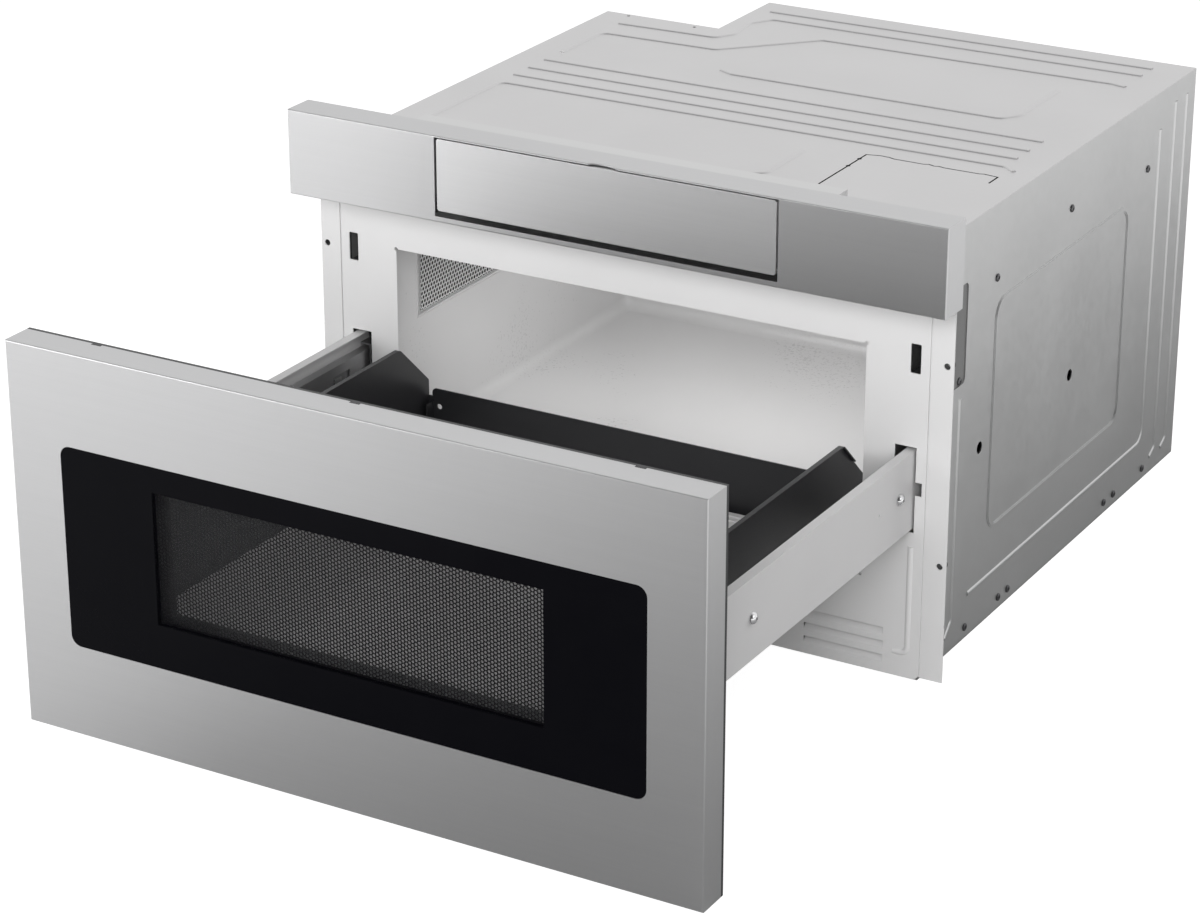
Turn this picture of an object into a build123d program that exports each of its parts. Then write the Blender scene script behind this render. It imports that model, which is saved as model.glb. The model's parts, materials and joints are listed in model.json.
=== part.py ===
from build123d import *
import os
from math import atan, cos, pi, radians, sin, sqrt, tan

# Built-in microwave drawer with its drawer drawn open.
# X runs to the right, Y to the back and Z up. The origin is at the middle of the width, in the front
# plane of the mounting flanges, on the underside of the base.

# ---- Whole unit ---------------------------------------------------------------------------------
front_width = 606.4        # control panel and door
overall_height = 403.2     # base underside to the top of the control panel
overall_depth = 589.0      # control face to the rear panel
flange_setback = 35.0      # control face to the front of the mounting flanges
drawer_travel = 381.0      # closed to fully open
body_width = 548.6         # galvanised body
body_drop = 31.2           # top of the body below the top of the control panel
step_width = 118.4         # rear left corner that is left out of the body
step_depth = 101.8
cabinet_sheet = 1.0        # galvanised panels
base_sheet = 1.2
running_gap = 0.05         # radial, shaft in a hole
seat_gap = 0.3             # all round, a piece set into an opening
overcut = 1.0              # cutting shapes run this far past a surface

# ---- Control panel and its tilting flap ---------------------------------------------------------
control_height = 74.2
control_depth = 31.0
trim_sheet = 1.2           # stainless control panel and flap
edge_round = 1.2
flap_width = 313.0
flap_height = 62.3
flap_return = 10.0
flap_side_gap = 2.0
flap_top_gap = 1.0
flap_bottom_gap = 4.8
flap_corner = 2.5
notch_width = 25.0
notch_depth = 3.6
pivot_depth = 4.0          # hinge axis behind the flap's face
pivot_rise = 3.8           # hinge axis above the flap's lower edge
pin_radius = 2.0
pin_embed = 7.0            # pin's seat in the end of the housing
lug_sheet = 1.5
lug_height = 14.0
housing_inset = 6.5        # each end of the control housing, from the flap's end
housing_top = 6.0          # flat top of the housing behind the flap's face
housing_reach = 40.0       # from the hinge axis back to the housing's rear edge
housing_rear_rise = 26.5   # of the rear edge above the hinge axis
housing_foot = 17.0        # from the hinge axis back to the housing's lower rear edge
control_glass = 2.0
glass_round = 2.0
tub_half_width = 195.0
tub_back = 11.0            # rear face of the tub behind the control panel
tub_drop = 41.0            # tub floor below the top of the body

# ---- Door ---------------------------------------------------------------------------------------
panel_gap = 4.8            # control panel to door
floor_gap = 1.2            # door to the plane that the unit stands on
door_depth = 27.0
door_sheet = 1.0
frame_proud = 3.2          # lip of the black door frame behind the skin's edge
frame_sheet = 1.2
window_width = 512.6
window_height = 168.4
window_corner = 9.0
window_centre = 163.2      # above the base
glass_thickness = 4.0
glass_setback = 0.3
screen_width = 340.0       # clear area of the window
screen_height = 108.0
screen_centre = 171.8
screen_border = 8.0
screen_sheet = 0.6
screen_depth = 9.0         # behind the door's face
inner_glass = 3.0
cover_width = 536.0        # black cover on the back of the door
cover_margin = 39.0        # door's height less the cover's
cover_depth = 3.2
nick_width = 9.0
nick_depth = 2.5
nick_places = (-236.0, -2.0, 236.0)
latch_thickness = 5.0
latch_reach = 35.6
latch_height = 12.0
latch_nose = 6.0
latch_nose_length = 8.0

# ---- Front plate and mounting flanges -----------------------------------------------------------
plate_width = 552.0
plate_sheet = 1.2
plate_lift = 0.4
opening_width = 441.4
opening_bottom = 84.0
opening_relief = 1.8       # round relief in each corner of the opening
plate_corner = 4.0
opening_lip = 6.8          # opening's upper edge below the cavity ceiling
slot_inner = 248.0         # slide slot, from the middle of the unit
slot_outer = 267.0
slot_bottom = 129.5
slot_top = 203.2
screw_notch_depth = 6.0
screw_notch_height = 11.6
latch_slot_width = 9.0
latch_slot_height = 24.8
latch_slot_round = 1.0
latch_slot_x = 263.7
latch_slot_drop = 5.0      # middle of the latch slots below the opening's upper edge
louvre_length = 72.0
louvre_height = 6.5
louvre_pitch = 12.2
louvre_count = 3
louvre_x = 207.0
louvre_z = 13.0            # middle of the lowest louvre
louvre_lean = 5.0
plate_rib_x = 264.8
plate_rib_top = 117.0
plate_rib_low = 22.0
plate_rib_end = 252.0
plate_rib_round = 6.0
flange_outer = 296.5
flange_gap = 1.4           # dark line between front plate and flange
flange_sheet = 1.2
flange_bottom = 3.2
flange_drop = 32.0         # top of the flanges below the top of the body
flange_leg = 84.0          # side leg's depth inside the body
flange_hole_radius = 2.8
flange_collar = 6.0         # formed collar behind each screw hole
flange_collar_wall = 1.2
flange_hole_x = 290.6
flange_hole_low = 105.3
flange_hole_drop = 63.2    # upper screw hole below the top of the flange

# ---- Pressed ribs -------------------------------------------------------------------------------
rib_width = 5.0
rib_height = 1.1
rib_sink = 0.1
rib_rear = (80.0, 46.0, 19.5)      # upright ribs, from a side panel's rear edge
rib_rise = 17.0
rib_drop = 18.0
rib_hook = 12.0
loop_drop = 35.5           # upper ends of the upright ribs below the top of the body
loop_low = 39.5
loop_front = 64.0
loop_foot = 30.0           # lower bend's front end behind the front rib
loop_round = 14.0
ring_front = 130.0
ring_from_rear = 146.5
ring_low = 83.5
ring_drop = 86.0           # upper side of the ring below the top of the body
ring_round = 16.0
roof_rib_corner = 9.0
# Course of each rib on the top panel, in parts of the body's half width and of its depth.
roof_ribs = (
    ((-0.51, 0.950), (0.88, 0.958)),
    ((-0.89, 0.760), (-0.53, 0.767), (-0.49, 0.800), (-0.507, 0.870), (-0.46, 0.909), (0.88, 0.914)),
    ((-0.885, 0.565), (-0.885, 0.698), (-0.46, 0.705), (-0.20, 0.841), (0.83, 0.850), (0.88, 0.844)),
    ((-0.33, 0.606), (-0.28, 0.595), (0.67, 0.595), (0.71, 0.625), (0.71, 0.771)),
    ((-0.89, 0.516), (0.88, 0.518)),
    ((-0.89, 0.466), (0.88, 0.468)),
    ((-0.89, 0.420), (0.88, 0.424)),
    ((-0.886, 0.140), (-0.886, 0.375), (0.88, 0.381), (0.92, 0.365)),
    ((0.24, 0.164), (0.285, 0.180), (0.284, 0.298)),
)
roof_dots = ((-0.908, 0.807), (-0.647, 0.803))     # small holes, in the same measure
roof_dot_radius = 1.5

# ---- Holes and screws of the galvanised panels --------------------------------------------------
recess_front = 28.0        # slot that shows the flange's leg
recess_back = 72.0
recess_drop = 18.0         # its upper edge below the top of the flange
recess_height = 86.0
recess_round = 5.0
side_hole_radius = 5.2
side_hole_z = 166.4
side_holes = (104.0, 261.4)
panel_screw_shank = 1.6
panel_screw_head = 3.4
panel_screw_rise = 1.8
low_screw_z = 10.4
low_screws_front = (88.8, 156.4, 175.7)
low_screws_rear = (165.0, 142.8, 74.8)
low_screw_count = len(low_screws_front) + len(low_screws_rear)
high_screws = (125.4, 105.6)
high_screw_drop = 64.6     # below the top of the body
mid_screw_drop = 50.4
leg_screw_y = 62.3         # screw in the flange's leg, seen in the slot
leg_screw_rise = 3.8       # above the slot's lower edge
base_lip = 16.0            # upturned sides of the base plate
cover_left = 128.0         # cut line of the access cover in the top panel
cover_right = 247.0
cover_front = 95.0
cover_rear = 183.0
cover_tail = 18.0
cover_line = 1.6
# The rear cut line's small steps: share of its length, and how far back it steps there.
cover_steps = ((0.10, 3.0), (0.17, 2.4), (0.21, 0.6), (0.44, 0.4), (0.47, 2.2), (0.52, 0.2),
               (0.55, 1.4), (0.60, 0.0), (0.86, 0.3), (0.89, 1.6))
cover_holes = (13.0, 34.0) # round holes on the cut line, in front of its rear corner
cover_hole_radius = 2.0
rear_vent_columns = 4
rear_vent_rows = 8
rear_vent_pitch_x = 32.0
rear_vent_pitch_z = 12.0
rear_vent_length = 26.0
rear_vent_width = 5.0

# ---- Cavity -------------------------------------------------------------------------------------
cavity_half_width = 234.0
cavity_floor = 94.2
ceiling_drop = 82.0        # cavity ceiling below the top of the body
cavity_back = 417.0
cavity_sheet = 1.0
cavity_round = 10.0
gutter_depth = 14.0        # lowered strip in front of the cavity floor
platform_half_width = 166.0
platform_front = 30.0
platform_back = 362.0
platform_rise = 2.0
platform_round = 28.0
lamp_window_front = 51.0
lamp_window_back = 193.0
lamp_window_rise = 6.8     # above the floor of the lamp duct
lamp_window_drop = 22.0    # below the cavity ceiling
lamp_screen_pitch = 9.0
lamp_screen_hole = 2.6
feed_y = 230.0
feed_radius = 50.0

# ---- Drawer -------------------------------------------------------------------------------------
drawer_half_width = 209.0
drawer_bottom = 97.4
drawer_top = 199.7
drawer_sheet = 1.2
drawer_rear = 27.0         # rear ends of the drawer sides, drawer open
drawer_fold = 3.0
drawer_ledge = 12.0
chamfer_start = 44.0       # along the top edge, from the rear end
chamfer_drop = 41.5
side_round = 4.0
peak_round = 8.0            # where the sides' top edge turns down
back_width = 406.0
back_top = 152.0
back_flange = 12.0
back_tab = 4.0             # lap of the sides' tabs over the drawer back
back_return = 12.0         # ends of the drawer back, bent forwards along the sides
back_hole_radius = 2.5
back_hole_x = 196.0
back_hole_z = 135.8
tray_thickness = 4.0
tray_groove_insets = (6.0, 14.3)   # grooves all round, from the tray's edge
tray_groove_width = 3.0
tray_groove_depth = 1.5
tray_rear_gap = 7.0

# ---- Slides and brackets ------------------------------------------------------------------------
bracket_web = 265.2        # outer face of the bracket, from the middle of the unit
bracket_sheet = 1.2
bracket_bottom = 132.7
bracket_top = 200.2
bracket_flange = 8.5
bracket_dot_radius = 1.2   # small hole between the two screws
bracket_dot_y = -61.5
bracket_rear = 20.0
slide_centre = 167.8       # height of the slides
slide_sheet = 1.2
member_gap = 0.8           # between the webs of two slide members
slide_inner_face = 251.3   # outer member's web, from the middle of the unit
outer_half_height = 22.5
middle_half_height = 18.3
inner_half_height = 14.1
outer_start = 3.0
outer_length = 406.0
middle_length = 380.0
middle_closed = 12.0
lance_start = -52.0        # window with a tab in the middle members' webs, drawer open
lance_length = 25.0
lance_bottom = 168.0
lance_height = 9.5
lance_tab = (2.5, 13.0)    # the tab's front and rear end behind the window's front end
lance_tab_height = 6.5
inner_length = 400.0
inner_closed = 3.0
cage_length = 150.0
cage_closed_outer = 122.0
cage_closed_inner = 133.0
cage_clearance = 0.08
cage_sheet = 0.4
ball_width = 3.2
support_start = 2.0
support_length = 418.0
support_foot = 11.0
screw_head_radius = 5.2
screw_head_height = 4.2
screw_shank_radius = 2.0
bracket_screw_front = -274.5
bracket_screw_rear = -25.5

# ---- Rack drive ---------------------------------------------------------------------------------
gear_module = 1.25
pinion_teeth = 18
pinion_clearance = 1.5     # between the pinion and the slide's web
rack_line = 135.0          # height of the pitch line
rack_teeth_behind = 1      # whole pitches of rack behind the pinion, drawer open
pressure_angle = 20.0
tooth_backlash = 0.12      # taken off each flank
tooth_foot = 1.25          # root's distance from the pitch line, in modules
tooth_sink = 0.2           # teeth run this far into the pinion's root
rack_spare = 3             # teeth more than the travel needs
rack_thickness = 11.0
rack_top = 143.0
pinion_y = 16.0
pinion_face = 8.0
shaft_radius = 4.0
gearbox_depth = 47.0
gearbox_bottom = 56.0
gearbox_top = 142.0
gearbox_inner = 237.0
gearbox_wall = 2.0
motor_radius = 17.0
motor_length = 62.0
motor_cap = 4.0
can_round = 2.5            # rim of the motor cans
motor_y = 34.0
motor_z = 74.0

# ---- Microwave feed, cooling and power ----------------------------------------------------------
guide_half_width = 45.0
guide_height = 40.0
guide_front = 150.0
guide_back = 505.0
magnetron_width = 92.0
magnetron_depth = 78.0
magnetron_height = 88.0
magnetron_y = 462.0
fin_count = 7
fin_sheet = 1.2
anode_radius = 19.5
antenna_radius = 9.0
antenna_height = 22.0
antenna_gap = 1.0
stirrer_radius = 38.0
stirrer_blades = 4
stirrer_rise = 14.0
stirrer_shaft = 3.0
stirrer_motor_radius = 24.0
stirrer_motor_height = 18.0
mica_sheet = 1.0
mica_half = 62.0
fan_size = 120.0
fan_depth = 38.0
fan_x = 60.0
fan_y = 486.0
fan_drop = 126.0           # fan's axis below the top of the body
fan_bore = 56.0
fan_hub = 18.0
fan_tip_gap = 3.0
fan_blades = 7
blade_pitch = 28.0
blade_sheet = 2.4
fan_corner = 8.0
fan_inset = 6.0            # rotor behind the housing's face
fan_spokes = 3
fan_spoke_width = 6.0
fan_spoke_sheet = 3.0
fan_shaft = 2.5
fan_motor_radius = 27.0
fan_motor_length = 30.0
board_left = 118.0
board_right = 246.0
board_front = 432.0
board_back = 540.0
board_height = 14.0
board_sheet = 1.6
board_edge = 7.0
pillar_radius = 3.5
sink_fins = 6
sink_pitch = 7.0
sink_sheet = 2.0
sink_height = 34.0
transformer_width = 56.0
transformer_depth = 50.0
transformer_height = 48.0
transformer_yoke = 11.0
winding_sink = 1.0         # winding runs this far into the core
gland_x = 230.0
gland_z = 120.0
gland_radius = 9.0
gland_bore = 4.5
gland_collar = 12.0
gland_collar_depth = 4.0
duct_front = 45.0
duct_back = 200.0
duct_lift = 4.7            # lamp duct above the slides
duct_drop = 8.0            # its top below the cavity ceiling
duct_side_gap = 1.0        # between the duct and the drawer bracket's flange
duct_sheet = 0.8
lamp_radius = 5.5
lamp_length = 26.0
lamp_tip = 1.0             # radius of the bulb's flat end
switch_half_width = 6.0
switch_half_height = 16.0
switch_depth = 24.0
switch_arm = 2.0
plunger_gap = 0.3
plunger_size = 4.0
plunger_length = 8.0
plunger_travel = 2.5

# ---- Places worked out from the sizes above -----------------------------------------------------
front_y = -flange_setback
rear_y = front_y + overall_depth
step_y = rear_y - step_depth
body_height = overall_height - body_drop
body_half = body_width / 2
step_x = -body_half + step_width
control_bottom = overall_height - control_height
control_back = front_y + control_depth
door_top = control_bottom - panel_gap
door_y = front_y - drawer_travel
skin_back = door_y + door_depth
frame_back = skin_back + frame_proud
cover_back = frame_back + cover_depth
door_height = door_top - floor_gap
door_middle = floor_gap + door_height / 2
flap_top = overall_height - trim_sheet - flap_top_gap
flap_bottom = flap_top - flap_height
pivot_y = front_y + pivot_depth
pivot_z = flap_bottom + pivot_rise
tub_floor = body_height - tub_drop
cover_height = door_height - cover_margin
cavity_ceiling = body_height - ceiling_drop
opening_top = cavity_ceiling - opening_lip
latch_slot_z = opening_top - latch_slot_drop
flange_top = body_height - flange_drop
flange_hole_high = flange_top - flange_hole_drop
recess_high = flange_top - recess_drop
recess_low = recess_high - recess_height
loop_high = body_height - loop_drop
ring_high = body_height - ring_drop
high_screw_z = body_height - high_screw_drop
mid_screw_z = body_height - mid_screw_drop
leg_screw_z = recess_low + leg_screw_rise
duct_bottom = slide_centre + outer_half_height + duct_lift
duct_top = cavity_ceiling - duct_drop
lamp_window_bottom = duct_bottom + lamp_window_rise
lamp_window_top = cavity_ceiling - lamp_window_drop
fan_z = body_height - fan_drop
pitch_radius = gear_module * pinion_teeth / 2
pinion_z = rack_line - pitch_radius
sides = (("left", -1), ("right", 1))

os.makedirs("parts", exist_ok=True)


def finish(piece, label):
    """Names a finished piece and writes it to its own file."""
    piece.part.label = label
    export_step(piece.part, f"parts/{label}.step")


def facing_front(y):
    """A plane across the unit at y: its own axes are X and Z, and it looks forwards."""
    return Plane(origin=(0, y, 0), x_dir=(1, 0, 0), z_dir=(0, -1, 0))


def facing_right(x):
    """A plane along the unit at x: its own axes are Y and Z, and it looks to the right."""
    return Plane(origin=(x, 0, 0), x_dir=(0, 1, 0), z_dir=(1, 0, 0))


def level(z):
    """A level plane at height z."""
    return Plane.XY.offset(z)


def area(left, right, low, high, mode=Mode.ADD):
    """A rectangle in the open sketch, given by its edges."""
    with Locations(((left + right) / 2, (low + high) / 2)):
        Rectangle(right - left, high - low, mode=mode)


def block(xs, ys, zs, mode=Mode.ADD):
    """A box in the open part, given by its faces in order along each axis."""
    middle = ((xs[0] + xs[1]) / 2, (ys[0] + ys[1]) / 2, (zs[0] + zs[1]) / 2)
    with Locations(middle):
        Box(xs[1] - xs[0], ys[1] - ys[0], zs[1] - zs[0], mode=mode)


def span(sign, near, far):
    """X places of a piece that reaches from near to far on one side, in rising order."""
    return (near, far) if sign > 0 else (-far, -near)


def rib(surface, *points, corner=12.0):
    """A pressed rib with a round back that follows points on a panel's outer face."""
    with BuildLine(surface) as route:
        if len(points) == 2:
            Line(*points)
        else:
            FilletPolyline(*points, radius=corner)
    path = route.line
    along = path % 0
    with BuildSketch(Plane(path @ 0, x_dir=surface.z_dir.cross(along), z_dir=along)) as section:
        with BuildLine():
            Polyline(
                (-rib_width / 2, 0),
                (-rib_width / 2, -rib_sink),
                (rib_width / 2, -rib_sink),
                (rib_width / 2, 0),
            )
            ThreePointArc((rib_width / 2, 0), (0, rib_height), (-rib_width / 2, 0))
        make_face()
    sweep(sections=section.sketch, path=path)


def ring_rib(surface, middle, length, height, corner):
    """A pressed rib that closes on itself round a rectangle with round corners."""
    slope = rib_width / 4
    for start, end, rise in ((-rib_sink, rib_height / 2, 0), (rib_height / 2, rib_height, slope)):
        with BuildSketch(surface.offset(start)) as outline:
            with Locations(middle):
                grown = rib_width - 2 * rise
                RectangleRounded(length + grown, height + grown, corner + grown / 2)
                RectangleRounded(length - grown, height - grown, corner - grown / 2,
                                 mode=Mode.SUBTRACT)
        extrude(outline.sketch, amount=end - start)


# ---- Control panel frame ------------------------------------------------------------------------
with BuildPart() as control_panel_frame:
    block((-front_width / 2, front_width / 2), (front_y, control_back),
          (control_bottom, overall_height))
    fillet(control_panel_frame.edges().group_by(Axis.Y)[0], edge_round)
    block((-front_width / 2 + trim_sheet, front_width / 2 - trim_sheet),
          (front_y + trim_sheet, control_back),
          (control_bottom + trim_sheet, overall_height - trim_sheet), mode=Mode.SUBTRACT)
    window_half = flap_width / 2 + flap_side_gap
    with BuildSketch(facing_front(front_y + trim_sheet)):
        area(-window_half, window_half, flap_bottom - flap_bottom_gap, overall_height - trim_sheet)
    extrude(amount=trim_sheet, mode=Mode.SUBTRACT)
    with BuildSketch(level(overall_height - trim_sheet)):
        with Locations((0, front_y)):
            Ellipse(notch_width / 2, notch_depth)
    extrude(amount=trim_sheet, mode=Mode.SUBTRACT)
    lug_bottom = pivot_z - lug_height / 2
    for name, sign in sides:
        lug = span(sign, window_half + lug_sheet, window_half + 2 * lug_sheet)
        block(lug, (front_y + trim_sheet, pivot_y + lug_height / 2),
              (lug_bottom, lug_bottom + lug_height))
    with Locations(Location((0, pivot_y, pivot_z), (0, 90, 0))):
        Cylinder(pin_radius + running_gap, front_width - 4 * trim_sheet, mode=Mode.SUBTRACT)
finish(control_panel_frame, "control_panel_frame")

# ---- Tub behind the control panel ---------------------------------------------------------------
with BuildPart() as control_tub:
    block((-tub_half_width, tub_half_width), (control_back, tub_back), (tub_floor, overall_height))
    block((-tub_half_width + trim_sheet, tub_half_width - trim_sheet),
          (control_back, tub_back - trim_sheet),
          (tub_floor + trim_sheet, overall_height - trim_sheet), mode=Mode.SUBTRACT)
finish(control_tub, "control_tub")

# ---- Control flap -------------------------------------------------------------------------------
with BuildPart() as flap_skin:
    block((-flap_width / 2, flap_width / 2), (front_y, front_y + flap_return),
          (flap_bottom, flap_top))
    fillet(flap_skin.edges().filter_by(Axis.Y), flap_corner)
    fillet(flap_skin.edges().group_by(Axis.Y)[0], edge_round / 2)
    block((-flap_width / 2 + trim_sheet, flap_width / 2 - trim_sheet),
          (front_y + trim_sheet, front_y + flap_return),
          (flap_bottom + trim_sheet, flap_top - trim_sheet), mode=Mode.SUBTRACT)
    with Locations(Location((0, pivot_y, pivot_z), (0, 90, 0))):
        Cylinder(pin_radius, 2 * flap_width, mode=Mode.SUBTRACT)
finish(flap_skin, "flap_skin")

housing_half = flap_width / 2 - housing_inset
housing_front = front_y + trim_sheet
housing_low = flap_bottom + trim_sheet + seat_gap
housing_high = flap_top - trim_sheet - seat_gap
slope_top = (housing_front + housing_top, housing_high)
slope_foot = (pivot_y + housing_reach, pivot_z + housing_rear_rise)
with BuildPart() as flap_housing:
    with BuildSketch(facing_right(-housing_half)):
        with BuildLine():
            Polyline(
                (housing_front, housing_low),
                (pivot_y + housing_foot, housing_low),
                slope_foot,
                slope_top,
                (housing_front, housing_high),
                close=True,
            )
        make_face()
    extrude(amount=2 * housing_half)
    for name, sign in sides:
        pin_seat = sign * (housing_half - pin_embed / 2)
        with Locations(Location((pin_seat, pivot_y, pivot_z), (0, 90, 0))):
            Cylinder(pin_radius, pin_embed, mode=Mode.SUBTRACT)
finish(flap_housing, "flap_housing")

slope_run = (slope_foot[0] - slope_top[0], slope_foot[1] - slope_top[1])
slope_length = sqrt(slope_run[0] ** 2 + slope_run[1] ** 2)
with BuildPart() as flap_glass:
    slope_plane = Plane(
        origin=(0, (slope_top[0] + slope_foot[0]) / 2, (slope_top[1] + slope_foot[1]) / 2),
        x_dir=(1, 0, 0),
        z_dir=(0, -slope_run[1], slope_run[0]),
    )
    with BuildSketch(slope_plane):
        RectangleRounded(2 * housing_half - 2 * flap_corner, slope_length - 2 * flap_corner,
                         glass_round)
    extrude(amount=control_glass)
finish(flap_glass, "flap_glass")

with BuildPart() as flap_pins:
    pin_start = housing_half - pin_embed
    pin_end = window_half + 3 * lug_sheet
    for name, sign in sides:
        pin_middle = sign * (pin_start + pin_end) / 2
        with Locations(Location((pin_middle, pivot_y, pivot_z), (0, 90, 0))):
            Cylinder(pin_radius, pin_end - pin_start)
finish(flap_pins, "flap_pins")

# ---- Door skin ----------------------------------------------------------------------------------
with BuildPart() as door_skin:
    block((-front_width / 2, front_width / 2), (door_y, skin_back), (floor_gap, door_top))
    fillet(door_skin.edges().group_by(Axis.Y)[0], edge_round)
    block((-front_width / 2 + door_sheet, front_width / 2 - door_sheet),
          (door_y + door_sheet, skin_back),
          (floor_gap + door_sheet, door_top - door_sheet), mode=Mode.SUBTRACT)
    with BuildSketch(facing_front(door_y + door_sheet)):
        with Locations((0, window_centre)):
            RectangleRounded(window_width, window_height, window_corner)
    extrude(amount=door_sheet, mode=Mode.SUBTRACT)
    for x in nick_places:
        block((x - nick_width / 2, x + nick_width / 2), (skin_back - nick_depth, skin_back),
              (door_top - door_sheet, door_top), mode=Mode.SUBTRACT)
finish(door_skin, "door_skin")

# ---- Black frame inside the door: a pan with a tunnel round the window --------------------------
frame_half = front_width / 2 - door_sheet - seat_gap
frame_low = floor_gap + door_sheet + seat_gap
frame_high = door_top - door_sheet - seat_gap
tunnel_half_width = screen_width / 2 + screen_border
tunnel_half_height = screen_height / 2 + screen_border
glass_back = door_y + glass_setback + glass_thickness
with BuildPart() as door_frame:
    block((-frame_half, frame_half), (glass_back, skin_back), (frame_low, frame_high))
    block((-front_width / 2, front_width / 2), (skin_back, frame_back), (floor_gap, door_top))
    block((-frame_half + frame_sheet, frame_half - frame_sheet),
          (glass_back, frame_back - frame_sheet),
          (frame_low + frame_sheet, frame_high - frame_sheet), mode=Mode.SUBTRACT)
    tunnel_wall = tunnel_half_width + frame_sheet
    block((-tunnel_wall, tunnel_wall), (glass_back, frame_back),
          (screen_centre - tunnel_half_height - frame_sheet,
           screen_centre + tunnel_half_height + frame_sheet))
    block((-tunnel_half_width, tunnel_half_width), (glass_back, frame_back),
          (screen_centre - tunnel_half_height, screen_centre + tunnel_half_height),
          mode=Mode.SUBTRACT)
    for x in nick_places:
        block((x - nick_width / 2 + seat_gap, x + nick_width / 2 - seat_gap),
              (skin_back - nick_depth + seat_gap, skin_back), (frame_high - frame_sheet, door_top))
finish(door_frame, "door_frame")

# ---- Door glass, screen, inner glass and rear cover ---------------------------------------------
with BuildPart() as door_glass:
    with BuildSketch(facing_front(glass_back)):
        with Locations((0, window_centre)):
            RectangleRounded(window_width - 2 * seat_gap, window_height - 2 * seat_gap,
                             window_corner - seat_gap)
    extrude(amount=glass_thickness)
finish(door_glass, "door_glass")

with BuildPart() as door_screen:
    with BuildSketch(facing_front(door_y + screen_depth + screen_sheet)):
        with Locations((0, screen_centre)):
            Rectangle(2 * tunnel_half_width, 2 * tunnel_half_height)
    extrude(amount=screen_sheet)
finish(door_screen, "door_screen")

with BuildPart() as door_inner_glass:
    with BuildSketch(facing_front(frame_back)):
        with Locations((0, screen_centre)):
            Rectangle(2 * tunnel_half_width, 2 * tunnel_half_height)
    extrude(amount=inner_glass)
finish(door_inner_glass, "door_inner_glass")

with BuildPart() as door_cover:
    with BuildSketch(facing_front(cover_back)):
        with Locations((0, door_middle)):
            RectangleRounded(cover_width, cover_height, window_corner)
        with Locations((0, screen_centre)):
            Rectangle(2 * tunnel_half_width, 2 * tunnel_half_height, mode=Mode.SUBTRACT)
    extrude(amount=cover_depth)
finish(door_cover, "door_cover")

with BuildPart() as latch_heads:
    latch_top = latch_slot_z + latch_height / 2
    latch_low = latch_slot_z - latch_height / 2
    latch_tip = cover_back + latch_reach
    for name, sign in sides:
        with BuildSketch(facing_right(sign * latch_slot_x - latch_thickness / 2)):
            with BuildLine():
                Polyline(
                    (cover_back, latch_low),
                    (latch_tip - latch_nose_length, latch_low),
                    (latch_tip - latch_nose_length, latch_low - latch_nose),
                    (latch_tip - latch_nose_length / 2, latch_low - latch_nose),
                    (latch_tip, latch_low),
                    (latch_tip, latch_top),
                    (cover_back, latch_top),
                    close=True,
                )
            make_face()
        extrude(amount=latch_thickness)
finish(latch_heads, "latch_heads")

# ---- Drawer sides, back and tray ----------------------------------------------------------------
# The fold along a side's top edge turns outwards and ends half way down the chamfer.
chamfer_y = drawer_rear - chamfer_start
chamfer_angle = atan(chamfer_drop / chamfer_start)
fold_end = (chamfer_y + chamfer_start / 2, drawer_top - chamfer_drop / 2)
for name, sign in sides:
    with BuildPart() as drawer_side:
        with BuildSketch(facing_front(drawer_rear)):
            area(*span(sign, drawer_half_width - drawer_sheet, drawer_half_width),
                 drawer_bottom, drawer_top)
            area(*span(sign, drawer_half_width - drawer_ledge, drawer_half_width),
                 drawer_bottom, drawer_bottom + drawer_sheet)
        extrude(amount=drawer_rear - cover_back)
        fold_start = min(span(sign, drawer_half_width, drawer_half_width + drawer_fold))
        with BuildSketch(facing_right(fold_start)):
            with BuildLine():
                Polyline(
                    (cover_back, drawer_top),
                    (chamfer_y, drawer_top),
                    fold_end,
                    (fold_end[0] - drawer_sheet * sin(chamfer_angle),
                     fold_end[1] - drawer_sheet * cos(chamfer_angle)),
                    (chamfer_y - drawer_sheet * tan(chamfer_angle / 2), drawer_top - drawer_sheet),
                    (cover_back, drawer_top - drawer_sheet),
                    close=True,
                )
            make_face()
        extrude(amount=drawer_fold)
        with BuildSketch(facing_right(-drawer_half_width - drawer_fold)):
            with BuildLine():
                FilletPolyline(
                    (chamfer_y - peak_round, drawer_top),
                    (chamfer_y, drawer_top),
                    (drawer_rear, drawer_top - chamfer_drop),
                    (drawer_rear, drawer_top - chamfer_drop - 2 * side_round),
                    radius=(peak_round, side_round),
                )
                Polyline(
                    (drawer_rear, drawer_top - chamfer_drop - 2 * side_round),
                    (drawer_rear + overcut, drawer_top - chamfer_drop - 2 * side_round),
                    (drawer_rear + overcut, drawer_top + overcut),
                    (chamfer_y - peak_round, drawer_top + overcut),
                    (chamfer_y - peak_round, drawer_top),
                )
            make_face()
        extrude(amount=2 * (drawer_half_width + drawer_fold), mode=Mode.SUBTRACT)
        tab = span(sign, back_width / 2 - back_tab, drawer_half_width)
        block(tab, (drawer_rear - drawer_sheet, drawer_rear),
              (drawer_bottom, back_top - 2 * side_round))
    finish(drawer_side, f"{name}_drawer_side")

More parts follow.
